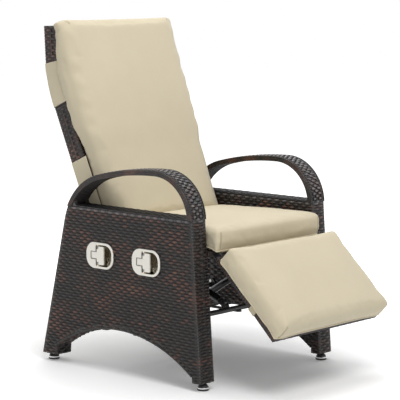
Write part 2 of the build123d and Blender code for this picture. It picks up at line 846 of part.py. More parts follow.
lever_pin = on_circle(hinges["back"], back_lever_radius, back_lever_angle)
lever_eye = (lever_pin[0] + back_eye_shift[0], lever_pin[1] + back_eye_shift[1])
lever_root = back_point(back_tube_start, back_tube_lines[0])
eye_radius = spring_pin_radius + back_eye_play
ear_inner = spring_eye_width / 2 + ear_gap


def lever_outline(eye, play_radius, root, root_width):
    """A lever plate in side view: a ring round the enlarged eye, and an arm to the tube that carries it."""
    arm = Vector(root[0] - eye[0], root[1] - eye[1])
    with BuildSketch(side_view(0)) as outline:
        with Locations(eye):
            Circle(play_radius + lever_rim)
        with Locations(Location((eye[0], eye[1], 0), (0, 0, degrees(atan2(arm.Y, arm.X))))):
            with Locations((arm.length / 2, 0)):
                Rectangle(arm.length, root_width)
        with Locations(eye):
            Circle(play_radius, mode=Mode.SUBTRACT)
    return outline.sketch


def add_levers(profile, across):
    """Extrude a lever's side view into a plate on each side of a gas spring's end."""
    for start, way in ((across + ear_inner, 1), (across - ear_inner, -1)):
        extrude(profile.moved(Location((start, 0, 0))), amount=way * ear_thickness, dir=(1, 0, 0))


back_plate_reach = back_skin_start + tube_inset
with BuildPart() as back_frame:
    back_ladders(0, Mode.ADD)
    back_cross_tubes(cross_tube_radius, Mode.ADD)
    for across in (-moving_plate_across - hinge_plate, moving_plate_across):
        with BuildSketch(side_view(across)):
            with BuildLine():
                Polyline(
                    back_point(back_plate_reach, back_tube_lines[0]),
                    back_point(back_plate_reach, back_tube_lines[1]),
                    back_point(0, back_thickness / 2 + square_tube / 2),
                    back_point(0, back_thickness / 2 - square_tube / 2),
                    back_point(back_plate_reach, back_tube_lines[0]),
                )
            make_face()
            with Locations(hinges["back"]):
                Circle(hinge_eye_radius)
        extrude(amount=hinge_plate)
    add_levers(lever_outline(lever_eye, eye_radius, lever_root, 2 * cross_tube_radius), back_spring_across)
    back_ladders(tube_wall, Mode.SUBTRACT)
    back_cross_tubes(cross_tube_radius - tube_wall, Mode.SUBTRACT)
    for way in (-1, 1):
        cross_holes(
            *hinges["back"], way * (moving_plate_across + hinge_plate / 2), 2 * hinge_plate,
            hinge_pin_radius + hinge_bush_wall + running_fit,
        )
save(back_frame, "back_frame")

with BuildPart() as back_weave:
    shell = back_slab(back_thickness, 0, back_skin_start, back_top_height, back_half_width)
    long_edges = [edge for edge in shell.edges() if abs(abs((edge @ 0.5).X) - back_half_width) < running_fit]
    upper_edges = [edge for edge in long_edges if (edge @ 0.5).Z > deck_middle + back_thickness]
    fillet(upper_edges, radius=weave_edge_radius)
    back_slab(
        back_thickness - weave_wall,
        weave_wall,
        back_skin_start + weave_wall,
        back_top_height - weave_wall,
        back_half_width - weave_wall,
        mode=Mode.SUBTRACT,
    )
    low = back_skin_start - weave_wall
    plate_slot = (weave_wall, back_thickness - weave_wall, back_skin_start + 2 * weave_wall)
    lever_slot = (-weave_wall, back_thickness / 4, back_tube_start)
    slots = [(way * (moving_plate_across + hinge_plate / 2),) + plate_slot for way in (-1, 1)]
    lever_across = ear_inner + ear_thickness / 2
    slots += [(back_spring_across + way * lever_across,) + lever_slot for way in (-1, 1)]
    for across, near_rear, far_rear, high in slots:
        with BuildSketch(side_view(across - hinge_plate / 2 - slip_fit)):
            with BuildLine():
                Polyline(
                    back_point(low, near_rear),
                    back_point(high, near_rear),
                    back_point(high, far_rear),
                    back_point(low, far_rear),
                    close=True,
                )
            make_face()
        extrude(amount=hinge_plate + 2 * slip_fit, mode=Mode.SUBTRACT)
save(back_weave, "back_weave")

for name, low, high in (
    ("upper_strap", upper_strap_low, upper_strap_high),
    ("lower_strap", lower_strap_low, lower_strap_high),
):
    outside = soft_gap + strap_thickness
    with BuildPart() as strap:
        back_slab(back_thickness, -outside, back_skin_start, back_top_height, back_half_width + outside)
        back_slab(
            back_thickness + outside,
            -soft_gap,
            back_skin_start - outside,
            back_top_height + outside,
            back_half_width + soft_gap,
            mode=Mode.SUBTRACT,
        )
        split(bisect_by=Plane.XY.offset(low), keep=Keep.TOP)
        split(bisect_by=Plane.XY.offset(high), keep=Keep.BOTTOM)
    save(strap, name)


# Cushions: crowned, with bulging sides drawn in between the corners and softened ends
def cushion_section(plane, half_width, base, height, crown):
    """One section of a cushion on a plane: a flat base line, bulging sides and a crowned top. A negative
    height lays the crown on the other side of the base."""
    with BuildSketch(plane) as section:
        with BuildLine():
            top = base + height
            corner = half_width - cushion_draw
            swell = cushion_bulge
            Line((-half_width, base), (half_width, base))
            ThreePointArc((half_width, base), (half_width + swell, base + height / 2), (corner, top))
            ThreePointArc((corner, top), (0, top + (crown if height > 0 else -crown)), (-corner, top))
            ThreePointArc((-corner, top), (-half_width - swell, base + height / 2), (-half_width, base))
        make_face()
    return section.sketch


def flat_cushion(front, rear, base, thickness, crown):
    """A cushion that lies on a level deck, from front to rear."""
    stations = (
        (front, cushion_end_inset, cushion_end_drop, crown / 4),
        (front + cushion_shoulder, 0, 0, crown / 2),
        ((front + rear) / 2, cushion_draw, 0, crown),
        (rear - cushion_shoulder, 0, 0, crown / 2),
        (rear, cushion_end_inset, cushion_end_drop, crown / 4),
    )
    with BuildPart() as cushion:
        sections = []
        for depth, inset, drop, rise in stations:
            plane = Plane.XZ.offset(-depth)
            low = base + drop / 2
            sections.append(cushion_section(plane, cushion_half_width - inset, low, thickness - drop, rise))
        loft(sections, ruled=True)
    return cushion


seat_cushion = flat_cushion(
    seat_cushion_front,
    seat_cushion_rear,
    seat_deck_top + soft_gap,
    seat_cushion_height - soft_gap,
    seat_crown / 2,
)
save(seat_cushion, "seat_cushion")
footrest_cushion = flat_cushion(
    footrest_hinge_depth - footrest_cushion_end,
    footrest_hinge_depth - footrest_cushion_start,
    seat_deck_top + soft_gap,
    footrest_cushion_thickness - soft_gap,
    footrest_crown / 2,
)
save(footrest_cushion, "footrest_cushion", swung=True)


def back_cushion_front(height):
    """Depth of the back cushion's straight front face at a height."""
    rise = height - back_cushion_front_height
    return back_cushion_front_depth + rise * tan(radians(back_cushion_lean))


back_cushion_shares = (0.025, 0.22, 0.45, 0.65, 0.82, 0.965)
back_cushion_length = back_cushion_top - back_cushion_low
stations = [(0, cushion_end_inset, back_crown / 4)]
stations += [(share, cushion_draw * (1 - abs(2 * share - 1)), back_crown) for share in back_cushion_shares]
stations += [(1, cushion_end_inset, back_crown / 4)]
with BuildPart() as back_cushion:
    sections = []
    for share, inset, rise in stations:
        height = back_cushion_low + share * back_cushion_length
        rear = back_line(min(height, back_top_height), back_thickness + soft_gap) - inset / 2
        front = back_cushion_front(height) + inset
        sections.append(
            cushion_section(Plane.XY.offset(height), cushion_half_width - inset, rear, front - rear, rise / 2)
        )
    loft(sections, ruled=True)
save(back_cushion, "back_cushion")

# Footrest: laid out level with the seat; save() swings it down
footrest_front = footrest_hinge_depth - footrest_frame_end
footrest_rear = footrest_hinge_depth - deck_front_gap
footrest_lever_root = (footrest_rear - weave_wall - slip_fit - square_tube / 2, deck_middle)
footrest_pin = (footrest_hinge_depth - footrest_lever_along, deck_middle - footrest_lever_down)
footrest_eye = (footrest_pin[0] + footrest_eye_shift[0], footrest_pin[1] + footrest_eye_shift[1])
footrest_eye_radius = spring_pin_radius + footrest_eye_play
with BuildPart() as footrest_frame:
    ladder_frame(footrest_front, footrest_rear, deck_half_width, footrest_slats, 0, Mode.ADD)
    ladder_frame(footrest_front, footrest_rear, deck_half_width, footrest_slats, tube_wall, Mode.SUBTRACT)
    add_hinge_plates(
        moving_plate_outline(hinges["footrest"], 180, frame_reach), moving_plate_across, hinge_plate
    )
    root_bottom = (footrest_lever_root[0], deck_middle - square_tube / 2)
    add_levers(lever_outline(footrest_eye, footrest_eye_radius, root_bottom, 2 * square_tube), 0)
save(footrest_frame, "footrest_frame", swung=True)

with BuildPart() as footrest_weave:
    woven_box(footrest_front, footrest_rear, deck_half_width, deck_bottom, seat_deck_top)
    for across in (moving_plate_across + hinge_plate / 2, -moving_plate_across - hinge_plate / 2):
        with BuildSketch(Plane.XY.offset(deck_middle - square_tube / 2 - slip_fit)):
            with Locations((across, footrest_rear)):
                Rectangle(hinge_plate + 2 * slip_fit, 4 * weave_wall)
        extrude(amount=square_tube + 2 * slip_fit, mode=Mode.SUBTRACT)
    with BuildSketch(Plane.XY.offset(deck_bottom - weave_wall)):
        for way in (-1, 1):
            with Locations((way * (ear_inner + ear_thickness / 2), footrest_lever_root[0])):
                Rectangle(ear_thickness + 2 * slip_fit, 2 * square_tube + 2 * slip_fit)
    extrude(amount=2 * weave_wall, mode=Mode.SUBTRACT)
save(footrest_weave, "footrest_weave", swung=True)

elastic_outside = soft_gap + elastic_thickness
elastic_depth = footrest_rear + (footrest_front - footrest_rear) * elastic_share
with BuildPart() as footrest_elastic:
    with BuildSketch(Plane.XZ.offset(-elastic_depth - elastic_width / 2)):
        with Locations((0, (deck_bottom - elastic_outside + seat_deck_top) / 2)):
            Rectangle(2 * (deck_half_width + elastic_outside), deck_thickness + elastic_outside)
        with Locations((0, (deck_bottom - soft_gap + seat_deck_top + overrun) / 2)):
            Rectangle(
                2 * (deck_half_width + soft_gap), deck_thickness + soft_gap + overrun, mode=Mode.SUBTRACT
            )
    extrude(amount=elastic_width)
save(footrest_elastic, "footrest_elastic", swung=True)


# Gas springs, each laid out along the line from its fixed pin to its moving pin
def turned(point, centre, angle):
    """A side view's point turned about a centre, anticlockwise in degrees."""
    away = (point[0] - centre[0], point[1] - centre[1])
    turn = radians(angle)
    return (
        centre[0] + away[0] * cos(turn) - away[1] * sin(turn),
        centre[1] + away[0] * sin(turn) + away[1] * cos(turn),
    )


gas_springs = {
    "back": (
        back_spring_across, (back_spring_front_depth, back_spring_front_height), lever_pin,
        back_cylinder_share, back_piston_share,
    ),
    "footrest": (
        0, (footrest_spring_depth, footrest_spring_height),
        turned(footrest_pin, hinges["footrest"], footrest_rest_angle),
        footrest_cylinder_share, footrest_piston_share,
    ),
}
for name, (across, fixed, moving, cylinder_share, piston_share) in gas_springs.items():
    run = Vector(0, moving[0] - fixed[0], moving[1] - fixed[1])
    line = Plane(origin=(across, *fixed), x_dir=(1, 0, 0), z_dir=run)
    far_end = Plane(origin=(across, *moving), x_dir=(1, 0, 0), z_dir=run)
    cylinder_end = run.length * cylinder_share
    piston_start = spring_neck + (cylinder_end - spring_neck) * piston_share
    bore = spring_radius - spring_wall
    with BuildPart() as cylinder:
        with BuildSketch(line.offset(spring_neck)):
            Circle(spring_radius)
        extrude(amount=cylinder_end - spring_neck)
        chamfer(cylinder.edges().filter_by(GeomType.CIRCLE), length=spring_wall / 2)
        with BuildSketch(line.offset(spring_neck + spring_wall)):
            Circle(bore)
        extrude(amount=cylinder_end, mode=Mode.SUBTRACT)
        with BuildSketch(line):
            Rectangle(spring_eye_width, 2 * spring_eye_radius * cos(pi / 4))
        extrude(amount=spring_neck)
        with BuildSketch(side_view(across - spring_eye_width / 2)):
            with Locations(fixed):
                Circle(spring_eye_radius)
        extrude(amount=spring_eye_width)
        cross_holes(*fixed, across, overrun, spring_pin_radius + running_fit)
    save(cylinder, f"{name}_spring_cylinder")

    with BuildPart() as gland:
        with BuildSketch(line.offset(cylinder_end - spring_gland)):
            Circle(bore)
            Circle(spring_rod_radius + running_fit, mode=Mode.SUBTRACT)
        extrude(amount=spring_gland)
    save(gland, f"{name}_spring_gland")

    with BuildPart() as rod:
        with BuildSketch(line.offset(piston_start)):
            Circle(spring_rod_radius)
        extrude(amount=run.length - piston_start - spring_neck)
        with BuildSketch(line.offset(piston_start)):
            Circle(bore - running_fit)
        extrude(amount=piston_length)
    save(rod, f"{name}_spring_rod")

    with BuildPart() as end_fitting:
        with BuildSketch(far_end.offset(-spring_neck - release_head_length)):
            Rectangle(spring_eye_width, spring_eye_width)
            Circle(spring_rod_radius, mode=Mode.SUBTRACT)
        extrude(amount=release_head_length)
        with BuildSketch(far_end.offset(-spring_neck)):
            Rectangle(spring_eye_width, spring_eye_width)
        extrude(amount=spring_neck)
        with BuildSketch(side_view(across - spring_eye_width / 2)):
            with Locations(moving):
                Circle(spring_eye_radius)
        extrude(amount=spring_eye_width)
        pin_half = ear_inner + ear_thickness + ear_gap
        with BuildSketch(side_view(across - pin_half)):
            with Locations(moving):
                Circle(spring_pin_radius)
        extrude(amount=2 * pin_half)
    save(end_fitting, f"{name}_spring_end")

    release_plane = far_end.offset(-spring_neck - release_head_length)
    with BuildPart() as release:
        with BuildSketch(release_plane):
            with Locations((0, -spring_eye_width / 2 - release_lever_length / 2)):
                Rectangle(spring_eye_width, release_lever_length)
        extrude(amount=release_lever_thickness)
        corners = release.edges().filter_by(lambda edge: edge.length < 2 * release_lever_thickness)
        fillet(corners, radius=1.5 * spring_wall)
    save(release, f"{name}_spring_release")

    with BuildPart() as clevis_pin:
        pin_half = ear_inner + ear_thickness
        with BuildSketch(side_view(across - pin_half)):
            with Locations(fixed):
                Circle(spring_pin_radius)
        extrude(amount=2 * pin_half)
        for way in (-1, 1):
            with BuildSketch(side_view(across + way * pin_half)):
                with Locations(fixed):
                    Circle(spring_pin_radius + pin_head_height)
            extrude(amount=way * pin_head_height)
    save(clevis_pin, f"{name}_spring_pin")


def clevis(across, pin, foot, foot_width):
    """Two ears that rise from a foot to carry a gas spring's fixed pin."""
    with BuildPart() as ears:
        for start, way in ((across + ear_inner, 1), (across - ear_inner, -1)):
            with BuildSketch(side_view(start)):
                with BuildLine():
                    Polyline(
                        (foot[0] - foot_width / 2, foot[1]),
                        (foot[0] + foot_width / 2, foot[1]),
                        (pin[0] + spring_eye_radius * cos(pi / 6), pin[1] + spring_eye_radius / 2),
                        (pin[0] - spring_eye_radius * cos(pi / 6), pin[1] + spring_eye_radius / 2),
                        close=True,
                    )
                make_face()
                with Locations(pin):
                    Circle(spring_eye_radius)
            extrude(amount=way * ear_thickness)
        cross_holes(*pin, across, overrun, spring_pin_radius + running_fit)
    return ears


with BuildPart() as footrest_clevis:
    add(clevis(0, gas_springs["footrest"][1], (footrest_spring_depth, rail_top), ear_foot_width).part)
    with BuildSketch(Plane.XY.offset(rail_top)):
        with Locations((0, footrest_spring_depth)):
            Rectangle(2 * (ear_inner + ear_thickness), ear_foot_width)
    extrude(amount=weave_wall)
save(footrest_clevis, "footrest_spring_clevis")

with BuildPart() as back_clevis:
    stretcher_foot = (post_front_depth, stretcher_height)
    add(clevis(back_spring_across, gas_springs["back"][1], stretcher_foot, 2 * stretcher_radius).part)
    cross_holes(*stretcher_foot, back_spring_across, 2 * overrun, stretcher_radius + running_fit)
save(back_clevis, "back_spring_clevis")

# Pull handles: cup in the panel, bezel over it, and a sprung paddle on an upright pin
outer_face = -panel_outer
knuckle_across = outer_face + knuckle_depth
ear_reach = cup_height / 2 - cup_wall
for name, depth in handle_depths.items():
    centre = (depth, handle_height)
    with BuildPart() as cup:
        with BuildSketch(side_view(outer_face)):
            with Locations(centre):
                RectangleRounded(cup_length, cup_height, cup_corner)
        extrude(amount=cup_depth)
        with BuildSketch(side_view(outer_face)):
            with Locations(centre):
                RectangleRounded(cup_length - 2 * cup_wall, cup_height - 2 * cup_wall, cup_corner - cup_wall)
        extrude(amount=cup_depth - cup_wall, mode=Mode.SUBTRACT)
        for way in (-1, 1):
            inner = paddle_half_height + paddle_gap
            with BuildSketch(side_view(outer_face)):
                with Locations((depth + knuckle_offset, handle_height + way * (inner + ear_reach) / 2)):
                    Rectangle(ear_block, ear_reach - inner)
            extrude(amount=ear_block)
        with BuildSketch(Plane.XY.offset(handle_height - cup_height / 2 + cup_wall)):
            with Locations((knuckle_across, depth + knuckle_offset)):
                Circle(knuckle_pin_radius + running_fit)
        extrude(amount=cup_height - 2 * cup_wall, mode=Mode.SUBTRACT)
    save(cup, f"{name}_handle_cup")

    with BuildPart() as bezel:
        with BuildSketch(side_view(outer_face)):
            with Locations(centre):
                RectangleRounded(bezel_length, bezel_height, bezel_corner)
        extrude(amount=-bezel_thickness)
        fillet(bezel.faces().sort_by(Axis.X)[0].edges(), radius=bezel_thickness / 2)
        opening_rear = paddle_rear + 3 * paddle_gap
        with BuildSketch(side_view(outer_face)) as opening:
            with Locations(centre):
                RectangleRounded(
                    bezel_length - 2 * bezel_rim, bezel_height - 2 * bezel_rim, bezel_corner - bezel_rim
                )
            with Locations((depth + opening_rear + bezel_length / 2, handle_height)):
                Rectangle(bezel_length, bezel_height, mode=Mode.SUBTRACT)
            slot_length = tab_length - opening_rear + knuckle_offset + paddle_gap
            with Locations((depth + opening_rear + slot_length / 2, handle_height)):
                Rectangle(slot_length, 2 * (tab_half_height + paddle_gap))
        extrude(amount=-2 * bezel_thickness, mode=Mode.SUBTRACT)
    save(bezel, f"{name}_handle_bezel")

    with BuildPart() as paddle:
        with BuildSketch(side_view(outer_face - knuckle_depth)):
            with Locations((depth + (paddle_rear - paddle_front) / 2, handle_height)):
                RectangleRounded(paddle_front + paddle_rear, 2 * paddle_half_height, paddle_lip)
            with Locations((depth + knuckle_offset + tab_length / 2, handle_height)):
                Rectangle(tab_length, 2 * tab_half_height)
            notch = paddle_rear - knuckle_offset + 2 * knuckle_radius
            notch_rise = paddle_half_height - knuckle_notch / 2
            for way in (-1, 1):
                with Locations((depth + paddle_rear - notch / 2, handle_height + way * notch_rise)):
                    Rectangle(notch, knuckle_notch, mode=Mode.SUBTRACT)
        extrude(amount=paddle_thickness)
        with BuildSketch(Plane.XY.offset(handle_height - paddle_half_height + knuckle_notch)):
            with Locations((knuckle_across, depth + knuckle_offset)):
                Circle(knuckle_radius)
        extrude(amount=2 * (paddle_half_height - knuckle_notch))
        with BuildSketch(Plane.XY.offset(handle_height - paddle_half_height)):
            with Locations((knuckle_across, depth + knuckle_offset)):
                Circle(knuckle_pin_radius + running_fit)
        extrude(amount=2 * paddle_half_height, mode=Mode.SUBTRACT)
    save(paddle, f"{name}_handle_paddle")

    with BuildPart() as pivot_pin:
        with BuildSketch(Plane.XY.offset(handle_height - ear_reach)):
            with Locations((knuckle_across, depth + knuckle_offset)):
                Circle(knuckle_pin_radius)
        extrude(amount=2 * ear_reach)
    save(pivot_pin, f"{name}_handle_pin")

    with BuildPart() as handle_spring:
        for way in (0, 1):
            coil_reach = paddle_half_height - knuckle_notch + spring_wire + soft_gap
            start = handle_height + coil_reach * (2 * way - 1)
            start -= (1 - way) * spring_pitch * spring_turns
            base = Location((knuckle_across, depth + knuckle_offset, start))
            coil = Helix(spring_pitch, spring_pitch * spring_turns, spring_coil_radius).moved(base)
            with BuildSketch(Plane(origin=coil @ 0, z_dir=coil % 0)):
                RegularPolygon(spring_wire, 6)
            sweep(path=coil, is_frenet=True)
    save(handle_spring, f"{name}_handle_spring")

print("height above the floor", back_top_height, "middle depth", round(middle_depth, 2))
print("hinges", hinges, "pins", {name: value[1:3] for name, value in gas_springs.items()})
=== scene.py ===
import logging
import math
from dataclasses import dataclass, field
from enum import Enum
from typing import List, Optional, Sequence, Tuple

import bmesh
import bpy
import numpy as np
from mathutils import Matrix, Vector, kdtree, noise


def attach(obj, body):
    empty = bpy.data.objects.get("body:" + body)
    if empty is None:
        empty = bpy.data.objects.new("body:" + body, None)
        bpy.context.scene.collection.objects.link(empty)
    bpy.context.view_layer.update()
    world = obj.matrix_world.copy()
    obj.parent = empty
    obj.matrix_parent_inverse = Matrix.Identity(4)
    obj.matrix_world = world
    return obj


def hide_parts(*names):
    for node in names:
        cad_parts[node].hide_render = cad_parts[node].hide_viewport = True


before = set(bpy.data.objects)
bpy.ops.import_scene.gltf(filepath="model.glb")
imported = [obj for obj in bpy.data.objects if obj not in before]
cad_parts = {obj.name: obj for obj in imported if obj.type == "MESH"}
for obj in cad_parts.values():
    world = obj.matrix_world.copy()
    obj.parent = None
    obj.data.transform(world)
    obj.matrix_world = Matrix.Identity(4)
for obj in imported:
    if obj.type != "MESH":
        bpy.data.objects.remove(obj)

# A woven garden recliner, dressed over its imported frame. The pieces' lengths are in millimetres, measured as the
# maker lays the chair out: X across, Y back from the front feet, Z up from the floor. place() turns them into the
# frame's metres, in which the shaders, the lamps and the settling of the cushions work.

logging.basicConfig(level=logging.INFO, format="%(message)s")
log = logging.getLogger("garden_recliner")

MM = 0.001
MIDDLE_DEPTH = 203.67
HINGE_FOOTREST = (-14.0, 396.0)
HINGE_BACK = (447.289, 396.0)
FOOTREST_ANGLE = 43.9
DECK_TOP = 404.0
DECK_BOTTOM = 388.0
HANDLE_HEIGHT = 359.0
HANDLE_DEPTHS = (386.5, 193.0)
LOWER_STRAP = (462.0, 620.0)
UPPER_STRAP = (790.0, 935.0)
TINY = 1e-9
Point = Tuple[float, float, float]
Colour = Tuple[float, float, float]


def place(points: np.ndarray) -> np.ndarray:
    """Turn layout millimetres into the frame's metres.

    Args:
        points: rows of x, y, z in millimetres.

    Returns:
        Rows of x, y, z in metres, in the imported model's frame.
    """
    moved = np.array(points, float).reshape(-1, 3)
    moved[:, 1] -= MIDDLE_DEPTH
    return moved * MM


def swing(points: np.ndarray, turn_only: bool = False) -> np.ndarray:
    """Turn level-built footrest points down to the footrest's rest angle.

    Args:
        points: rows of x, y, z in millimetres.
        turn_only: True for directions, which turn but don't move.

    Returns:
        The turned rows.
    """
    rows = np.array(points, float).reshape(-1, 3)
    pivot = np.zeros(3) if turn_only else np.array([0.0, *HINGE_FOOTREST])
    angle = math.radians(FOOTREST_ANGLE)
    away = rows - pivot
    turned = away.copy()
    turned[:, 1] = away[:, 1] * math.cos(angle) - away[:, 2] * math.sin(angle)
    turned[:, 2] = away[:, 1] * math.sin(angle) + away[:, 2] * math.cos(angle)
    return turned + pivot


def rising(values: np.ndarray, start: float, width: float) -> np.ndarray:
    """Shares that are 0 up to a start and grow to 1 over a width."""
    return np.clip((values - start) / width, 0, 1)


def bell(distances: np.ndarray, reach: float) -> np.ndarray:
    """One at no distance, falling smoothly to nothing."""
    return np.exp(-((distances / reach) ** 2))


def eased(share: np.ndarray) -> np.ndarray:
    """A share whose both ends are level."""
    return share * share * (3 - 2 * share)


def on_circle(centre: Tuple[float, float], radius: float, angle: float) -> Tuple[float, float]:
    """A point of a circle at an angle in radians."""
    return centre[0] + radius * math.cos(angle), centre[1] + radius * math.sin(angle)


def linked(name: str, data: Optional[bpy.types.ID]) -> bpy.types.Object:
    """A new object in the scene, at the origin."""
    made = bpy.data.objects.new(name, data)
    bpy.context.scene.collection.objects.link(made)
    return made


# Shader helpers


class Value:
    """A number in a shader: it wraps a socket, and its operators add Math nodes."""

    def __init__(self, shader: "Shader", socket: bpy.types.NodeSocket) -> None:
        """Keep the socket and the shader that it belongs to."""
        self.shader = shader
        self.socket = socket

    def _math(self, operation: str, *inputs: object) -> "Value":
        """Add one Math node that works on the inputs."""
        return Value(self.shader, self.shader.node("ShaderNodeMath", {"operation": operation}, inputs).outputs[0])

    def __add__(self, other: object) -> "Value":
        """Sum of two numbers."""
        return self._math("ADD", self, other)

    def __sub__(self, other: object) -> "Value":
        """Difference of two numbers."""
        return self._math("SUBTRACT", self, other)

    def __mul__(self, other: object) -> "Value":
        """Product of two numbers."""
        return self._math("MULTIPLY", self, other)

    __radd__ = __add__
    __rmul__ = __mul__

    def wave(self) -> "Value":
        """Sine of the number."""
        return self._math("SINE", self)

    def power(self, exponent: float) -> "Value":
        """The number raised to a power."""
        return self._math("POWER", self, exponent)

    def clamp(self) -> "Value":
        """The number held between 0 and 1."""
        return Value(self.shader, self.shader.node("ShaderNodeClamp", {}, [self]).outputs[0])


class Shader:
    """One material's node tree, with a single method that adds every node."""

    def __init__(self, name: str) -> None:
        """Start an empty material.

        Args:
            name: the material's name.
        """
        self.material = bpy.data.materials.new(name)
        self.material.use_nodes = True
        self.tree = self.material.node_tree
        self.tree.nodes.clear()

    def node(self, kind: str, settings: Optional[dict] = None, inputs: object = ()) -> bpy.types.Node:
        """Add a node.

        Args:
            kind: the node's type.
            settings: properties of the node, set first; "stops" fills a colour ramp.
            inputs: values or links, as a list in socket order or a dict by socket name.

        Returns:
            The new node.
        """
        made = self.tree.nodes.new(kind)
        for key, setting in (settings or {}).items():
            if key == "stops":
                ramp = made.color_ramp
                while len(ramp.elements) < len(setting):
                    ramp.elements.new(0.5)
                for element, (position, colour) in zip(ramp.elements, setting):
                    element.position = position
                    element.color = (*colour, 1.0)
            else:
                setattr(made, key, setting)
        pairs = inputs.items() if isinstance(inputs, dict) else enumerate(inputs)
        for key, given in pairs:
            if given is None:
                continue
            target = made.inputs[key]
            source = given.socket if isinstance(given, Value) else given
            if isinstance(source, bpy.types.NodeSocket):
                self.tree.links.new(source, target)
            else:
                target.default_value = source
        return made

    def place(self) -> bpy.types.NodeSocket:
        """Object coordinates, in metres."""
        return self.node("ShaderNodeTexCoord").outputs["Object"]

    def stretched(self, scale: Sequence[float]) -> bpy.types.NodeSocket:
        """Object coordinates stretched by a factor for each axis."""
        return self.node("ShaderNodeMapping", {}, {"Vector": self.place(), "Scale": tuple(scale)}).outputs[0]

    def noise(self, scale: float, detail: float = 2.0, coordinates: Optional[bpy.types.NodeSocket] = None) -> Value:
        """A noise pattern as a number.

        Args:
            scale: how fine it is.
            detail: octaves.
            coordinates: where it is read, by default Object coordinates.

        Returns:
            The pattern.
        """
        inputs = {"Vector": coordinates or self.place(), "Scale": scale, "Detail": detail}
        return Value(self, self.node("ShaderNodeTexNoise", {}, inputs).outputs[0])

    def named(self, attribute: str) -> Value:
        """A number stored on the mesh under a name."""
        made = self.node("ShaderNodeAttribute", {"attribute_type": "GEOMETRY", "attribute_name": attribute})
        return Value(self, made.outputs["Fac"])

    def ramp(self, factor: Value, stops: Sequence[Tuple[float, Sequence[float]]]) -> bpy.types.NodeSocket:
        """A colour ramp read by a number."""
        return self.node("ShaderNodeValToRGB", {"stops": stops}, [factor]).outputs[0]

    def mixed(self, factor: Value, first: object, second: object) -> bpy.types.NodeSocket:
        """Two colours mixed by a number."""
        made = self.node("ShaderNodeMix", {"data_type": "RGBA"}, {0: factor})
        for index, given in ((6, first), (7, second)):
            if isinstance(given, bpy.types.NodeSocket):
                self.tree.links.new(given, made.inputs[index])
            else:
                made.inputs[index].default_value = (*given, 1.0)
        return made.outputs[2]

    def bump(self, height: Value, depth: float, strength: float = 1.0) -> bpy.types.NodeSocket:
        """A normal roughened by a height pattern whose full depth is in metres."""
        inputs = {"Strength": strength, "Distance": depth, "Height": height}
        return self.node("ShaderNodeBump", {}, inputs).outputs[0]

    def finish(self, **inputs: object) -> bpy.types.Material:
        """Close the material with a Principled shader.

        Args:
            inputs: the shader's sockets by name, with _ for a space.

        Returns:
            The finished material.
        """
        named = {key.replace("_", " "): given for key, given in inputs.items()}
        surface = self.node("ShaderNodeBsdfPrincipled", {}, named)
        output = self.node("ShaderNodeOutputMaterial")
        self.tree.links.new(surface.outputs[0], output.inputs[0])
        return self.material


# Finishes


def finished(name: str, finish: object) -> bpy.types.Material:
    """A finish's material under a name, built once."""
    return bpy.data.materials.get(name) or finish.material(name)


@dataclass(frozen=True)
class ResinStrand:
    """Woven resin strand: dark brown, with redder lengths, satin, with fine lines along it."""

    dark: Colour = (0.0105, 0.0093, 0.0078)
    brown: Colour = (0.031, 0.0195, 0.0138)
    red: Colour = (0.086, 0.032, 0.019)
    pale: Colour = (0.14, 0.066, 0.042)
    # gap is the near-black colour a strand takes where it dips under a stake: painted shade for the stake's shadow
    # over it.
    gap: Colour = (0.004, 0.0035, 0.0035)
    roughness: float = 0.32
    gloss: float = 0.45
    # under is the share of the lit colour kept where the wave fades out; below 1 it paints those parts darker, as
    # painted shade.
    under: float = 1.0
    tone_share: float = 0.26
    patch_share: float = 1.5
    run_share: float = 1.1
    threshold: float = 0.93
    rough_spread: float = 0.16
    under_matt: float = 0.6

    def material(self, name: str) -> bpy.types.Material:
        """Build the material: shade by strand, by patches and along the strand, with painted shade where it dips
        under the stakes.
        """
        shader = Shader(name)
        patches = shader.noise(9.0, 2.0, shader.stretched((1.0, 1.0, 1.6)))
        runs = shader.noise(38.0, 2.0)
        shades = shader.named("tone") * self.tone_share + patches * self.patch_share + runs * self.run_share
        stops = [(0.0, self.dark), (0.3, self.dark), (0.5, self.brown), (0.7, self.red), (1.0, self.pale)]
        woven = shader.ramp((shades - self.threshold).clamp(), stops)
        fade = shader.named("fade")
        # Painted shade for the stakes' shadow: full gap colour at the deepest dips, half where the wave is at its
        # middle or fades out, none on the humps.
        painted_dip_shade = (shader.named("lift") * 0.8 + 0.5).clamp() * (fade * (1.0 - self.under) + self.under)
        grain = shader.noise(900.0, 1.0)
        matt = (1.0 - self.under) * self.under_matt
        rough = grain * self.rough_spread + (self.roughness - self.rough_spread / 2 + matt) - fade * matt
        return shader.finish(
            Base_Color=shader.mixed(painted_dip_shade, self.gap, woven), Roughness=rough.socket,
            Normal=shader.bump(grain, 0.0003, 0.5), Specular_IOR_Level=self.gloss,
        )


# Resin for the arm wraps and the top row. It is greyer and paler than the rows: partly the strand's colour, partly
# painted sheen of the bright surroundings on the arm's top. With under at 0.18, the faces where the wave fades out
# turn nearly to the gap colour. On the arm these are its sides and underside, so this is painted shade.
ARM_STRAND = ResinStrand(
    dark=(0.06, 0.057, 0.06), brown=(0.1, 0.09, 0.092), red=(0.12, 0.085, 0.082), pale=(0.2, 0.18, 0.18),
    gloss=0.6, under=0.18,
)
RAIL_STRAND = ResinStrand(
    dark=(0.007, 0.007, 0.009), brown=(0.012, 0.011, 0.012), red=(0.03, 0.018, 0.016), pale=(0.04, 0.028, 0.026),
    roughness=0.5, gloss=0.2,
)


@dataclass(frozen=True)
class BackingShadow:
    """Near-black painted shade for the inside of the weave, seen in the gaps between strands, mottled with the dark
    flat stakes and tube.
    """

    colour: Colour = (0.012, 0.009, 0.009)
    stakes: Colour = (0.03, 0.022, 0.021)

    def material(self, name: str) -> bpy.types.Material:
        """Build the material."""
        shader = Shader(name)
        colour = shader.mixed(shader.noise(120.0, 1.0), self.colour, self.stakes)
        return shader.finish(Base_Color=colour, Roughness=0.7)


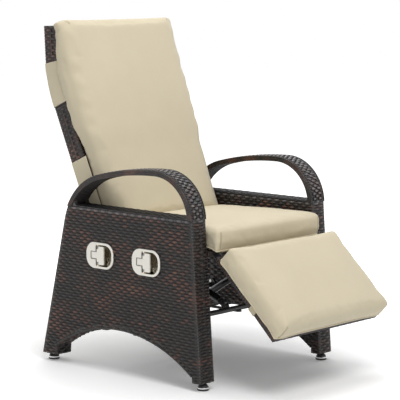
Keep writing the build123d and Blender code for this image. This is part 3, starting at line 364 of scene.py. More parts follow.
@dataclass(frozen=True)
class OutdoorCloth:
    """Plain-woven beige polyester cover."""

    colour: Colour = (0.66, 0.585, 0.425)
    shade: Colour = (0.575, 0.505, 0.36)
    weft: Colour = (0.5, 0.44, 0.31)
    # Painted shade in the grooves of the seams and the folds of the ears, read from the seam mark.
    seam_shade: Colour = (0.27, 0.225, 0.14)
    threads: float = 1500.0
    thread_share: float = 0.12
    seam_share: float = 0.75

    def material(self, name: str) -> bpy.types.Material:
        """Build the material: threads over soft wear, soft creases and painted shade along the seams and folds."""
        shader = Shader(name)
        x, y, z = shader.node("ShaderNodeSeparateXYZ", {}, [shader.place()]).outputs
        across = (Value(shader, x) * self.threads).wave()
        down = ((Value(shader, z) + Value(shader, y) * 0.7) * self.threads).wave()
        threads = (across * down) * 0.5 + 0.5
        base = shader.mixed(shader.noise(7.0, 3.0), self.shade, self.colour)
        woven = shader.mixed(threads * self.thread_share, base, self.weft)
        colour = shader.mixed((shader.named("seam") * self.seam_share).clamp(), woven, self.seam_shade)
        creases = shader.noise(26.0, 3.0, shader.stretched((1.0, 0.6, 1.0)))
        height = threads * self.thread_share + creases * 0.9
        return shader.finish(
            Base_Color=colour, Roughness=0.86, Normal=shader.bump(height, 0.0016, 0.55), Sheen_Weight=0.18,
            Sheen_Roughness=0.5,
        )


@dataclass(frozen=True)
class PlainFinish:
    """A metal or moulded finish: one colour with fine grain, small wear and its own gloss."""

    colour: Colour
    roughness: float
    metallic: float = 0.0
    grain: float = 300.0
    depth: float = 0.0001
    stretch: Tuple[float, float, float] = (1.0, 1.0, 1.0)
    coat: float = 0.0
    varied: float = 0.18
    fine_share: float = 0.14
    broad_share: float = 0.08

    def material(self, name: str) -> bpy.types.Material:
        """Build the material: its colour and roughness vary with a fine and a broad pattern."""
        shader = Shader(name)
        fine = shader.noise(self.grain, 2.0, shader.stretched(self.stretch))
        broad = shader.noise(18.0, 3.0)
        darker = tuple(channel * (1.0 - self.varied) for channel in self.colour)
        colour = shader.mixed(broad, darker, self.colour)
        spread = (self.fine_share + self.broad_share) / 2
        rough = fine * self.fine_share + broad * self.broad_share + (self.roughness - spread)
        return shader.finish(
            Base_Color=colour, Roughness=rough.socket, Metallic=self.metallic, Coat_Weight=self.coat,
            Coat_Roughness=0.15, Normal=shader.bump(fine, self.depth, 0.6),
        )


class Finish(Enum):
    """The chair's finishes that one colour and a grain describe."""

    TUBE = PlainFinish((0.022, 0.019, 0.019), 0.42, coat=0.25)
    ZINC = PlainFinish((0.52, 0.52, 0.5), 0.36, 1.0, stretch=(1.0, 1.0, 4.0))
    SATIN_NICKEL = PlainFinish((0.76, 0.735, 0.67), 0.36, 0.3, grain=420.0, depth=0.00006, varied=0.1)
    CUP = PlainFinish((0.74, 0.68, 0.56), 0.16, 1.0, grain=130.0, depth=0.006)
    BLACK_STEEL = PlainFinish((0.03, 0.03, 0.03), 0.4, 0.6)
    CHROME = PlainFinish((0.8, 0.8, 0.8), 0.12, 1.0, varied=0.05)
    CYLINDER = PlainFinish((0.012, 0.012, 0.013), 0.34, coat=0.5)
    RUBBER = PlainFinish((0.014, 0.014, 0.014), 0.55, grain=700.0)
    BUSH = PlainFinish((0.05, 0.05, 0.05), 0.5)
    ELASTIC = PlainFinish((0.5, 0.44, 0.31), 0.85, grain=1400.0, depth=0.0005)

    def material(self) -> bpy.types.Material:
        """The finish's material, built once."""
        return finished(self.name.lower(), self.value)


NODE_FINISHES = {
    "side_frame_left": Finish.TUBE, "side_frame_right": Finish.TUBE, "seat_frame": Finish.TUBE,
    "back_frame": Finish.TUBE, "footrest_frame": Finish.TUBE, "front_stretcher": Finish.TUBE,
    "rear_stretcher": Finish.TUBE, "centre_rail": Finish.TUBE, "seat_bolts": Finish.ZINC,
    "seat_spacers": Finish.ZINC, "flange_screws": Finish.ZINC, "back_hinge_bolts": Finish.BLACK_STEEL,
    "footrest_hinge_bolts": Finish.BLACK_STEEL, "back_hinge_bushes": Finish.BUSH,
    "footrest_hinge_bushes": Finish.BUSH,
}
for which in ("back", "footrest"):
    NODE_FINISHES.update(
        {
            f"{which}_spring_clevis": Finish.TUBE, f"{which}_spring_pin": Finish.BLACK_STEEL,
            f"{which}_spring_cylinder": Finish.CYLINDER, f"{which}_spring_gland": Finish.BUSH,
            f"{which}_spring_rod": Finish.CHROME, f"{which}_spring_end": Finish.CYLINDER,
            f"{which}_spring_release": Finish.BLACK_STEEL, f"{which}_handle_cup": Finish.CUP,
            f"{which}_handle_bezel": Finish.SATIN_NICKEL, f"{which}_handle_paddle": Finish.SATIN_NICKEL,
            f"{which}_handle_pin": Finish.ZINC, f"{which}_handle_spring": Finish.ZINC,
        }
    )
for which in ("front_left", "front_right", "rear_left", "rear_right"):
    NODE_FINISHES[f"foot_{which}"] = Finish.RUBBER
    NODE_FINISHES[f"foot_ring_{which}"] = Finish.CHROME


# Strands


@dataclass
class StrandSet:
    """Paths of strands that one Geometry Nodes tree turns into solid strands."""

    name: str
    width: float = 7.8
    thickness: float = 3.0
    hump: float = 2.6
    seed: int = 3
    paths: List[Tuple[np.ndarray, ...]] = field(default_factory=list)
    closed: List[bool] = field(default_factory=list)

    def __post_init__(self) -> None:
        """Fix the random shades."""
        self.random = np.random.default_rng(self.seed)

    def lay(
        self, points: np.ndarray, outs: np.ndarray, phases: np.ndarray, fades: np.ndarray, closed: bool,
        keep: Optional[np.ndarray] = None, tone: Optional[float] = None,
    ) -> None:
        """Add one strand.

        Args:
            points: its path in layout millimetres.
            outs: the outward direction at each point.
            phases: where each point stands in the over-and-under wave, in radians.
            fades: how much of the wave applies at each point.
            closed: True for a loop.
            keep: mask of the points that stay; the strand is cut where it is False.
            tone: shade from 0 to 1, random when left out.
        """
        if tone is None:
            tone = float(self.random.random())
        path = (points, outs, phases, fades, np.full(len(points), tone))
        if keep is None or keep.all():
            self._store(path, closed)
            return
        start = int(np.argmin(keep)) if closed else 0
        order = np.roll(np.arange(len(points)), -start)
        run: List[int] = []
        for index in list(order) + [-1]:
            if index >= 0 and keep[index]:
                run.append(index)
                continue
            if len(run) > 2:
                self._store(tuple(values[run] for values in path), False)
            run = []

    def _store(self, path: Tuple[np.ndarray, ...], closed: bool) -> None:
        """Keep one finished path: points, outward directions, phases, fades and tones."""
        self.paths.append(path)
        self.closed.append(closed)

    def build(self, body: str, material: bpy.types.Material, turned: bool = False) -> bpy.types.Object:
        """Make the strands.

        Args:
            body: the CAD body that they ride on.
            material: their finish.
            turned: True for the footrest's strands, which are laid out level and swing down.

        Returns:
            The finished object.
        """
        points, outs, phases, fades, tones = (np.concatenate(values) for values in zip(*self.paths))
        if turned:
            points, outs = swing(points), swing(outs, True)
        edges, start = [], 0
        for path, loop in zip(self.paths, self.closed):
            ring = np.arange(start, start + len(path[0]))
            edges.append(np.stack([ring[:-1], ring[1:]], 1))
            if loop:
                edges.append(np.array([[ring[-1], ring[0]]]))
            start += len(ring)
        mesh = bpy.data.meshes.new(self.name + "_paths")
        mesh.from_pydata(place(points).tolist(), np.concatenate(edges).tolist(), [])
        for key, kind, slot, values in (
            ("out", "FLOAT_VECTOR", "vector", outs), ("phase", "FLOAT", "value", phases),
            ("fade", "FLOAT", "value", fades), ("tone", "FLOAT", "value", tones),
        ):
            layer = mesh.attributes.new(key, kind, "POINT")
            layer.data.foreach_set(slot, np.ascontiguousarray(values, np.float32).ravel())
        holder = linked(self.name + "_paths", mesh)
        sizes = {"Hump": self.hump * MM, "Width": self.width * MM, "Thickness": self.thickness * MM}
        made = StrandTree.apply(holder, sizes, material)
        made.name = self.name
        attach(made, body)
        log.info("%s: %d strands, %d faces", self.name, len(self.paths), len(made.data.polygons))
        return made


class StrandTree:
    """The Geometry Nodes tree that waves strands in and out along their paths and gives them a body."""

    tree: Optional[bpy.types.NodeTree] = None

    @classmethod
    def build(cls) -> bpy.types.NodeTree:
        """Build the tree once."""
        if cls.tree:
            return cls.tree
        tree = bpy.data.node_groups.new("lay_strands", "GeometryNodeTree")
        face = tree.interface
        face.new_socket("Paths", in_out="INPUT", socket_type="NodeSocketGeometry")
        for size in ("Hump", "Width", "Thickness"):
            face.new_socket(size, in_out="INPUT", socket_type="NodeSocketFloat")
        face.new_socket("Finish", in_out="INPUT", socket_type="NodeSocketMaterial")
        face.new_socket("Strands", in_out="OUTPUT", socket_type="NodeSocketGeometry")

        def add(kind: str, settings: dict = {}, inputs: dict = {}) -> bpy.types.Node:
            """Add one node with its settings and links."""
            made = tree.nodes.new(kind)
            for key, setting in settings.items():
                setattr(made, key, setting)
            for key, given in inputs.items():
                if isinstance(given, bpy.types.NodeSocket):
                    tree.links.new(given, made.inputs[key])
                else:
                    made.inputs[key].default_value = given
            return made

        def stored(name: str, kind: str) -> bpy.types.NodeSocket:
            """An attribute of the paths."""
            return add("GeometryNodeInputNamedAttribute", {"data_type": kind}, {"Name": name}).outputs[0]

        def product(first: object, second: object) -> bpy.types.NodeSocket:
            """The product of two numbers."""
            return add("ShaderNodeMath", {"operation": "MULTIPLY"}, {0: first, 1: second}).outputs[0]

        given = add("NodeGroupInput").outputs
        out = stored("out", "FLOAT_VECTOR")
        wave = add("ShaderNodeMath", {"operation": "COSINE"}, {0: stored("phase", "FLOAT")}).outputs[0]
        faded = product(wave, stored("fade", "FLOAT"))
        lift = product(faded, given["Hump"])
        offset = add("ShaderNodeVectorMath", {"operation": "SCALE"}, {0: out, "Scale": lift}).outputs[0]
        marked = add(
            "GeometryNodeStoreNamedAttribute", {"data_type": "FLOAT", "domain": "POINT"},
            {"Geometry": given["Paths"], "Name": "lift", "Value": faded},
        ).outputs[0]
        curves = add("GeometryNodeMeshToCurve", {}, {0: marked}).outputs[0]
        moved = add("GeometryNodeSetPosition", {}, {"Geometry": curves, "Offset": offset}).outputs[0]
        free = add("GeometryNodeSetCurveNormal", {"mode": "FREE"}, {"Curve": moved, "Normal": out}).outputs[0]
        half_width, half_thick = product(given["Width"], 0.5), product(given["Thickness"], 0.5)
        scale = add("ShaderNodeCombineXYZ", {}, {0: half_thick, 1: half_width, 2: 1.0}).outputs[0]
        circle = add("GeometryNodeCurvePrimitiveCircle", {"mode": "RADIUS"}, {"Resolution": 6, "Radius": 1.0})
        profile = add("GeometryNodeTransform", {}, {"Geometry": circle.outputs[0], "Scale": scale}).outputs[0]
        solid = add("GeometryNodeCurveToMesh", {}, {"Curve": free, "Profile Curve": profile, "Fill Caps": True})
        smooth = add("GeometryNodeSetShadeSmooth", {}, {"Geometry": solid.outputs[0]}).outputs[0]
        real = add("GeometryNodeRealizeInstances", {}, {0: smooth}).outputs[0]
        painted = add("GeometryNodeSetMaterial", {}, {"Geometry": real, "Material": given["Finish"]}).outputs[0]
        add("NodeGroupOutput", {}, {0: painted})
        cls.tree = tree
        return tree

    @classmethod
    def apply(cls, holder: bpy.types.Object, sizes: dict, material: bpy.types.Material) -> bpy.types.Object:
        """Run the tree on an object and keep the result as a plain mesh.

        Args:
            holder: the object whose mesh holds the paths.
            sizes: the tree's named sizes in metres.
            material: the strands' finish.

        Returns:
            A new object with the strands.
        """
        tree = cls.build()
        modifier = holder.modifiers.new("strands", "NODES")
        modifier.node_group = tree
        keys = {item.name: item.identifier for item in tree.interface.items_tree if item.in_out == "INPUT"}
        for name, size in sizes.items():
            modifier[keys[name]] = size
        modifier[keys["Finish"]] = material
        evaluated = holder.evaluated_get(bpy.context.evaluated_depsgraph_get())
        mesh = bpy.data.meshes.new_from_object(evaluated)
        holder.modifiers.remove(modifier)
        bpy.data.objects.remove(holder)
        made = linked("strands", mesh)
        if not mesh.materials:
            mesh.materials.append(material)
        return made


def loop_round(half_u: float, half_v: float, corner: float, step: float) -> Tuple[np.ndarray, ...]:
    """A rounded rectangle, walked once.

    Args:
        half_u: half its size along its first direction.
        half_v: half its size along its second.
        corner: radius of its corners.
        step: rough distance between points.

    Returns:
        Places and outward normals in the rectangle's plane, the side each point is on (0 and 2 face along the
        second direction, 1 and 3 along the first) and how far the wave applies, which fades at the corners.
    """
    fade_over, turn_step, fullest = 9.0, 2.0, 0.98
    corner = min(corner, half_u * fullest, half_v * fullest)
    places, normals, sides, fades = [], [], [], []
    flat_u, flat_v = half_u - corner, half_v - corner
    runs = (
        ((flat_u, half_v), (-flat_u, half_v), (0, 1), 0),
        ((-half_u, flat_v), (-half_u, -flat_v), (-1, 0), 1),
        ((-flat_u, -half_v), (flat_u, -half_v), (0, -1), 2),
        ((half_u, -flat_v), (half_u, flat_v), (1, 0), 3),
    )
    centres = ((-flat_u, flat_v), (-flat_u, -flat_v), (flat_u, -flat_v), (flat_u, flat_v))
    for (start, finish, normal, side), centre in zip(runs, centres):
        start, finish = np.array(start, float), np.array(finish, float)
        length = np.linalg.norm(finish - start)
        count = max(2, int(round(length / step)) + 1)
        for share in np.linspace(0, 1, count):
            places.append(start + (finish - start) * share)
            normals.append(normal)
            sides.append(side)
            fades.append(min(1.0, min(share, 1 - share) * length / fade_over))
        angle = math.atan2(normal[1], normal[0])
        turns = max(1, int(corner / turn_step))
        for number in range(1, turns + 1):
            turn = angle + math.pi / 2 * number / (turns + 1)
            direction = np.array([math.cos(turn), math.sin(turn)])
            places.append(np.array(centre) + direction * corner)
            normals.append(direction)
            sides.append(side)
            fades.append(0.0)
    return np.array(places), np.array(normals, float), np.array(sides), np.array(fades)


def solid_from_outline(name: str, outlines: Sequence[np.ndarray], low: float, high: float) -> bpy.types.Object:
    """A plate with holes, from outlines in the side view.

    Args:
        name: the object's name.
        outlines: rows of y, z in layout millimetres; the first is the outside, the rest are holes.
        low: its lowest x.
        high: its highest x.

    Returns:
        The plate as a mesh object.
    """
    curve = bpy.data.curves.new(name + "_outline", "CURVE")
    curve.dimensions = "2D"
    curve.fill_mode = "BOTH"
    curve.extrude = (high - low) / 2 * MM
    for outline in outlines:
        spline = curve.splines.new("POLY")
        spline.points.add(len(outline) - 1)
        spline.use_cyclic_u = True
        rows = np.zeros((len(outline), 4))
        rows[:, 0] = (outline[:, 0] - MIDDLE_DEPTH) * MM
        rows[:, 1] = outline[:, 1] * MM
        rows[:, 3] = 1
        spline.points.foreach_set("co", rows.ravel())
    holder = linked(name + "_outline", curve)
    mesh = bpy.data.meshes.new_from_object(holder.evaluated_get(bpy.context.evaluated_depsgraph_get()))
    bpy.data.objects.remove(holder)
    turn = Matrix(((0, 0, 1, (low + high) / 2 * MM), (1, 0, 0, 0), (0, 1, 0, 0), (0, 0, 0, 1)))
    mesh.transform(turn)
    shape = bmesh.new()
    shape.from_mesh(mesh)
    bmesh.ops.remove_doubles(shape, verts=shape.verts, dist=1e-5)
    bmesh.ops.recalc_face_normals(shape, faces=shape.faces)
    shape.to_mesh(mesh)
    shape.free()
    return linked(name, mesh)


# Side panels


class Side(Enum):
    """The chair's two sides, as the sitter has them."""

    LEFT = 1
    RIGHT = -1


@dataclass
class SidePanel:
    """One woven side: rows round both faces, the wrapped arm, the rims and the near-black backing, painted shade for
    the weave's inside.
    """

    side: Side
    inner: float = 245.0
    outer: float = 310.0
    foot: float = 22.0
    rail: float = 505.0
    band: float = 16.0
    pitch: float = 9.0
    wave: float = 31.2
    arm_peak: Tuple[float, float] = (157.0, 635.0)
    crown_radius: float = 992.0
    crown_angle: float = 14.0
    shoulder_radius: float = 206.0
    rear_rake: float = 13.6
    front_radius: float = 145.0
    front_rake: float = 4.3
    arch_share: float = 0.5155
    arch_rise: float = 97.5
    arch_peak: float = 138.0
    rear_leg: float = 70.0
    front_leg: float = 38.0
    handle_height: float = HANDLE_HEIGHT
    handle_depths: Tuple[float, float] = HANDLE_DEPTHS
    row_step: float = 5.2
    row_inset: float = 1.7
    cup_reach: float = 31.6
    cup_flat: Tuple[float, float] = (23.3, 5.8)
    edge_wave: float = 32.5
    row_corner: float = 5.0
    arm_tightness: float = 0.86
    rim_tones: Tuple[Tuple[float, float], ...] = ((3.0, 0.2), (8.4, 0.42), (13.6, 0.25))
    stake_offsets: Tuple[float, ...] = (-20.25, -6.75, 6.75, 20.25)

    def __post_init__(self) -> None:
        """Work out the arcs' centres and the legs' inner edges."""
        self.label = self.side.name.lower()
        self.middle = (self.inner + self.outer) / 2
        self.first_row = self.foot + self.pitch / 2 + 0.6
        self.crown_centre = (self.arm_peak[0], self.arm_peak[1] - self.crown_radius)
        lean = math.radians(90 - self.crown_angle)
        reach = self.crown_radius - self.shoulder_radius
        self.shoulder_centre = on_circle(self.crown_centre, reach, lean)
        self.front_centre = (self.arm_peak[0], self.arm_peak[1] - self.front_radius)
        self.heel_inner = self.rear_edge(self.foot) - self.rear_leg
        self.toe_inner = self.front_edge(self.foot) + self.front_leg
        middle = self.toe_inner + (self.heel_inner - self.toe_inner) * self.arch_share
        self.arch_radius = ((middle - self.toe_inner) ** 2 + self.arch_rise**2) / (2 * self.arch_rise)
        self.arch_centre = (middle, self.arch_peak - self.arch_radius)

    def rear_edge(self, height: float) -> float:
        """Depth of the panel's rear edge at a height."""
        angle = math.radians(self.rear_rake)
        y0, z0 = on_circle(self.shoulder_centre, self.shoulder_radius, angle)
        if height <= z0:
            return y0 + (z0 - height) * math.tan(angle)
        rise = height - self.shoulder_centre[1]
        return self.shoulder_centre[0] + math.sqrt(self.shoulder_radius**2 - rise**2)

    def front_edge(self, height: float) -> float:
        """Depth of the panel's front edge at a height."""
        angle = math.radians(180 - self.front_rake)
        y0, z0 = on_circle(self.front_centre, self.front_radius, angle)
        if height <= z0:
            return y0 - (z0 - height) * math.tan(math.radians(self.front_rake))
        rise = height - self.front_centre[1]
        return self.front_centre[0] - math.sqrt(self.front_radius**2 - rise**2)

    def hoop(self, inset: float, step: float = 5.0, low: Optional[float] = None) -> np.ndarray:
        """Points of the hoop from the front toe over the arm to the rear heel.

        Args:
            inset: distance inwards from the outer edge.
            step: rough distance between points.
            low: height of both ends, by default the panel's foot.

        Returns:
            Rows of y, z and of the outward normal.
        """
        low = self.foot if low is None else low
        rows: List[Tuple[float, float, float, float]] = []

        def arc(centre: Tuple[float, float], radius: float, first: float, last: float) -> None:
            """Add an arc's points."""
            count = max(2, int(abs(math.radians(last - first)) * radius / step) + 1)
            for angle in np.radians(np.linspace(first, last, count)):
                rows.append((*on_circle(centre, radius, angle), math.cos(angle), math.sin(angle)))

        def run(start: Tuple[float, float], finish: Tuple[float, float], normal: Tuple[float, float]) -> None:
            """Add a straight run's points."""
            count = max(2, int(math.dist(start, finish) / step) + 1)
            for share in np.linspace(0, 1, count):
                rows.append(
                    (start[0] + (finish[0] - start[0]) * share, start[1] + (finish[1] - start[1]) * share, *normal)
                )

        front_angle, crown_end = 180 - self.front_rake, 90 - self.crown_angle
        first, last = math.radians(front_angle), math.radians(self.rear_rake)
        front_radius, rear_radius = self.front_radius - inset, self.shoulder_radius - inset
        tangent = on_circle(self.front_centre, front_radius, first)
        if low < tangent[1]:
            slope = math.tan(math.radians(self.front_rake))
            run((tangent[0] - (tangent[1] - low) * slope, low), tangent, (math.cos(first), math.sin(first)))
            arc(self.front_centre, front_radius, front_angle, 90)
        else:
            rise = math.asin((low - self.front_centre[1]) / front_radius)
            arc(self.front_centre, front_radius, 180 - math.degrees(rise), 90)
        arc(self.crown_centre, self.crown_radius - inset, 90, crown_end)
        tangent = on_circle(self.shoulder_centre, rear_radius, last)
        if low < tangent[1]:
            arc(self.shoulder_centre, rear_radius, crown_end, self.rear_rake)
            run(
                tangent, (tangent[0] + (tangent[1] - low) * math.tan(last), low), (math.cos(last), math.sin(last))
            )
        else:
            rise = math.asin((low - self.shoulder_centre[1]) / rear_radius)
            arc(self.shoulder_centre, rear_radius, crown_end, math.degrees(rise))
        keep = [0] + [i for i in range(1, len(rows)) if math.dist(rows[i][:2], rows[i - 1][:2]) > 0.5]
        return np.array([rows[i] for i in keep])

    def arch_line(self, inset: float, step: float = 6.0) -> np.ndarray:
        """Points along the arch from the front leg to the rear leg, raised by an inset."""
        depths = np.arange(self.toe_inner - inset, self.heel_inner + inset + step / 2, step)
        radius = self.arch_radius + inset
        heights = self.arch_centre[1] + np.sqrt(radius**2 - (depths - self.arch_centre[0]) ** 2)
        return np.stack([depths, heights], 1)

    def loop_line(self, inset: float) -> np.ndarray:
        """Outline of the arm opening, grown by an inset."""
        return self.hoop(self.band - inset, low=self.rail - inset)[:, :2]

    def across(self, inwards: float) -> float:
        """X of a place a distance in from the outer face, on this panel's side."""
        return self.side.value * (self.outer - inwards)

    def backing(self) -> bpy.types.Object:
        """The near-black solid behind the strands, painted shade for the weave's inside, which stands for the whole
        woven node.
        """
        deep = 2.6
        floor = self.foot + 1.0
        outline = self.hoop(deep)[:, :2]
        outline[0, 1] = outline[-1, 1] = floor
        rear, front = np.array([[self.heel_inner + deep, floor]]), np.array([[self.toe_inner - deep, floor]])
        outlines = [np.concatenate([outline, rear, self.arch_line(deep)[::-1], front]), self.loop_line(deep)]
        low, high = sorted((self.across(deep), self.across(self.outer - self.inner - deep)))
        if self.side is Side.RIGHT:
            return self._backing_with_recesses(outlines, low, high)
        return solid_from_outline("left_backing", outlines, low, high)

    def _backing_with_recesses(self, outlines: List[np.ndarray], low: float, high: float) -> bpy.types.Object:
        """The right backing: a plate with handle holes over a plain plate, joined into one mesh."""
        split = low + 30.0
        cup, _, _, _ = loop_round(53.9, 36.4, 30.2, 200.0)
        cups = [cup + np.array([depth, self.handle_height]) for depth in self.handle_depths]
        front = solid_from_outline("right_backing", outlines + cups, low, split)
        rear = solid_from_outline("right_backing_inner", outlines, split, high)
        shape = bmesh.new()
        shape.from_mesh(front.data)
        shape.from_mesh(rear.data)
        shape.to_mesh(front.data)
        shape.free()
        bpy.data.objects.remove(rear)
        return front

    def rows(self) -> StrandSet:
        """Level rows woven round the panel's two faces and edges."""
        strands = StrandSet(f"{self.label}_rows", seed=11 + self.side.value)
        shortest = 14.0
        height, number = self.first_row, 0
        while height < self.rail - 1.0 - self.pitch:
            spans = [(self.front_edge(height), self.rear_edge(height))]
            reach = self.arch_radius**2 - (height - self.arch_centre[1]) ** 2
            if reach > 0:
                half = math.sqrt(reach)
                spans = [
                    (self.front_edge(height), max(self.toe_inner, self.arch_centre[0] - half)),
                    (min(self.heel_inner, self.arch_centre[0] + half), self.rear_edge(height)),
                ]
            for low, high in spans:
                if high - low >= shortest:
                    self._row(strands, low, high, height, number)
            height += self.pitch
            number += 1
        return strands

    def top_row(self) -> StrandSet:
        """The paler row just below the rail."""
        strands = StrandSet(f"{self.label}_top_row", seed=15 + self.side.value)
        number = math.ceil((self.rail - 1.0 - self.pitch - self.first_row) / self.pitch)
        height = self.first_row + number * self.pitch
        self._row(strands, self.front_edge(height), self.rear_edge(height), height, number)
        return strands

    def _row(self, strands: StrandSet, low: float, high: float, height: float, number: int) -> None:
        """Lay one row round a stretch of the panel, open over the handles' recesses."""
        half_y = (high - low) / 2 - self.row_inset
        half_x = (self.outer - self.inner) / 2 - self.row_inset
        places, normals, sides, fades = loop_round(half_y, half_x, self.row_corner, self.row_step)
        depths = (low + high) / 2 + places[:, 0]
        points = np.stack(
            [self.side.value * (self.middle + places[:, 1]), depths, np.full(len(depths), height)], 1
        )
        outs = np.stack([self.side.value * normals[:, 1], normals[:, 0], np.zeros(len(depths))], 1)
        long_side = (sides == 0) | (sides == 2)
        run = np.where(long_side, depths / self.wave, places[:, 1] / self.edge_wave + 0.25)
        keep = np.ones(len(points), bool)
        if self.side is Side.RIGHT:
            outer_face = normals[:, 1] > 0.9
            for depth in self.handle_depths:
                beside = np.maximum(np.abs(depths - depth) - self.cup_flat[0], 0)
                above = max(abs(height - self.handle_height) - self.cup_flat[1], 0)
                keep &= ~((np.hypot(beside, above) < self.cup_reach) & outer_face)
        strands.lay(points, outs, 2 * math.pi * run + math.pi * number, fades, True, keep)

    def arm_wraps(self) -> StrandSet:
        """Strands woven across the arm, round its band, drawn in where they meet the rows."""
        strands = StrandSet(f"{self.label}_arm_wraps", width=8.0, hump=1.5, seed=31 + self.side.value)
        line = self.hoop(self.band / 2, step=self.pitch * self.arm_tightness, low=self.rail - 4)
        drawn_in, over = 1.6, 40.0
        line[:, :2] -= line[:, 2:] * (drawn_in * np.clip(1 - (line[:, 1] - self.rail) / over, 0, 1))[:, None]
        self._wrap(strands, line, self.band / 2 - 1.4)
        return strands

    def _wrap(self, strands: StrandSet, line: np.ndarray, half: float) -> None:
        """Lay a loop across the panel at each point of a line that has outward normals."""
        wave = 27.0
        places, normals, sides, fades = loop_round((self.outer - self.inner) / 2 - 2.4, half, 3.0, 4.6)
        # Only the face away from the panel waves. The other faces lie flat and take the painted dip shade: half of
        # it with the rows' finish, nearly all of it with the arm finish.
        fades = np.where(sides == 0, fades, 0.0)
        for number, (depth, height, out_y, out_z) in enumerate(line):
            across, up = places[:, 0], places[:, 1]
            points = np.stack(
                [self.side.value * (self.middle + across), depth + out_y * up, height + out_z * up], 1
            )
            outs = np.stack(
                [self.side.value * normals[:, 0], out_y * normals[:, 1], out_z * normals[:, 1]], 1
            )
            strands.lay(points, outs, 2 * math.pi * across / wave + math.pi * number, fades, True)

    def arm_stakes(self) -> StrandSet:
        """Flat stakes that run along the top of the arm between its wraps."""
        strands = StrandSet(
            f"{self.label}_arm_stakes", width=5.4, thickness=1.6, hump=1.2, seed=51 + self.side.value
        )
        line = self.hoop(0.9, step=3.9, low=self.rail - 2)
        lengths = np.concatenate([[0], np.cumsum(np.hypot(*np.diff(line[:, :2], axis=0).T))])
        count = len(line)
        outs = np.stack([np.zeros(count), line[:, 2], line[:, 3]], 1)
        for column, offset in enumerate(self.stake_offsets):
            points = np.stack(
                [np.full(count, self.side.value * (self.middle + offset)), line[:, 0], line[:, 1]], 1
            )
            phases = 2 * math.pi * lengths / (self.pitch * 2 * self.arm_tightness) + math.pi * (column + 1)
            strands.lay(points, outs, phases, np.ones(count), False, tone=0.35 + 0.1 * column)
        return strands

    def rims(self) -> StrandSet:
        """Smooth strands along the arm's sides and the arch."""
        strands = StrandSet(
            f"{self.label}_rims", width=6.2, thickness=2.4, hump=0.0, seed=71 + self.side.value
        )
        sunk, arch_sunk, arch_inset = 0.3, 0.6, 3.2
        for face, way in ((sunk, 1), (self.outer - self.inner - sunk, -1)):
            out_x = self.side.value * way
            for inset, tone in self.rim_tones:
                line = self.hoop(inset, step=6.0, low=self.rail - 6)
                self._strip(strands, line[:, :2], self.across(face), out_x, tone)
            self._strip(strands, self.arch_line(arch_inset), self.across(face - way * arch_sunk), out_x, 0.0)
        return strands

    def _strip(self, strands: StrandSet, line: np.ndarray, across: float, out_x: int, tone: float) -> None:
        """Lay one smooth strand along a line of a face."""
        count = len(line)
        points = np.stack([np.full(count, across), line[:, 0], line[:, 1]], 1)
        outs = np.tile([float(out_x), 0.0, 0.0], (count, 1))
        strands.lay(points, outs, np.zeros(count), np.zeros(count), False, tone=tone)

    def rail_top(self) -> StrandSet:
        """Smooth strands along the top of the rail, which roll over both edges."""
        strands = StrandSet(
            f"{self.label}_rail_top", width=8.8, thickness=2.6, hump=0.5, seed=111 + self.side.value
        )
        count, first, last = 130, 20.0, 518.0
        edge_tilt, edge_drop, drop = math.radians(48), 3.2, 0.8
        reach, columns = 28.4, 8
        offsets = np.linspace(-reach, reach, columns)
        depths = np.linspace(first, last, count)
        for column, offset in enumerate(offsets):
            edge = column in (0, columns - 1)
            tilt = edge_tilt * math.copysign(1, offset) if edge else 0.0
            height = self.rail - (edge_drop if edge else drop)
            across = np.full(count, self.side.value * (self.middle + offset))
            points = np.stack([across, depths, np.full(count, height)], 1)
            outs = np.tile([self.side.value * math.sin(tilt), 0.0, math.cos(tilt)], (count, 1))
            phases = 2 * math.pi * depths / self.wave + math.pi * column
            strands.lay(points, outs, phases, np.ones(count), False, tone=0.1 + 0.05 * (column % 3))
        return strands

    def edge_wraps(self) -> StrandSet:
        """Wraps under the arch."""
        strands = StrandSet(f"{self.label}_edge_wraps", width=8.2, hump=0.8, seed=91 + self.side.value)
        arch = self.arch_line(5.6, step=self.pitch)
        away = arch - np.array(self.arch_centre)
        normals = -away / np.linalg.norm(away, axis=1, keepdims=True)
        self._wrap(strands, np.concatenate([arch, normals], 1), 4.4)
        return strands

    def build(self) -> None:
        """Build the panel's pieces and let them stand for the woven node."""
        resin_and_painted_shade = finished("resin_strand", ResinStrand())
        backing = self.backing()
        backing.data.materials.append(finished("weave_backing", BackingShadow()))
        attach(backing, "base")
        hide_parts(f"side_weave_{self.label}")
        arm = finished("arm_strand", ARM_STRAND)
        rail = finished("rail_strand", RAIL_STRAND)
        for strands, finish in (
            (self.rows(), resin_and_painted_shade), (self.arm_wraps(), arm), (self.arm_stakes(), rail), (self.rims(), resin_and_painted_shade),
            (self.rail_top(), rail), (self.edge_wraps(), resin_and_painted_shade), (self.top_row(), arm),
        ):
            strands.build("base", finish)


# Woven seat, footrest and back


@dataclass
class WovenDeck:
    """A flat woven deck: rows across, looped round its frame."""

    node: str
    body: str
    front: float
    rear: float
    half_width: float = 243.0
    pitch: float = 9.0
    wave: float = 31.2
    turned: bool = False

    def build(self) -> None:
        """Build the rows over the CAD skin, which shows between them in the near-black backing, painted shade."""
        strands = StrandSet(f"{self.node}_rows", hump=1.8, thickness=2.2, seed=7)
        middle = (DECK_TOP + DECK_BOTTOM) / 2
        places, normals, sides, fades = loop_round(
            self.half_width - 0.5, (DECK_TOP - DECK_BOTTOM) / 2 - 0.4, 4.0, 5.2
        )
        count = len(places)
        outs = np.stack([normals[:, 0], np.zeros(count), normals[:, 1]], 1)
        fades = np.where(sides == 2, fades, 0.0)
        depths = np.arange(self.front + self.pitch / 2, self.rear - 2.0, self.pitch)
        for number, depth in enumerate(depths):
            points = np.stack([places[:, 0], np.full(count, depth), middle + places[:, 1]], 1)
            phases = 2 * math.pi * places[:, 0] / self.wave + math.pi * number
            strands.lay(points, outs, phases, fades, True)
        strands.build(self.body, finished("resin_strand", ResinStrand()), self.turned)


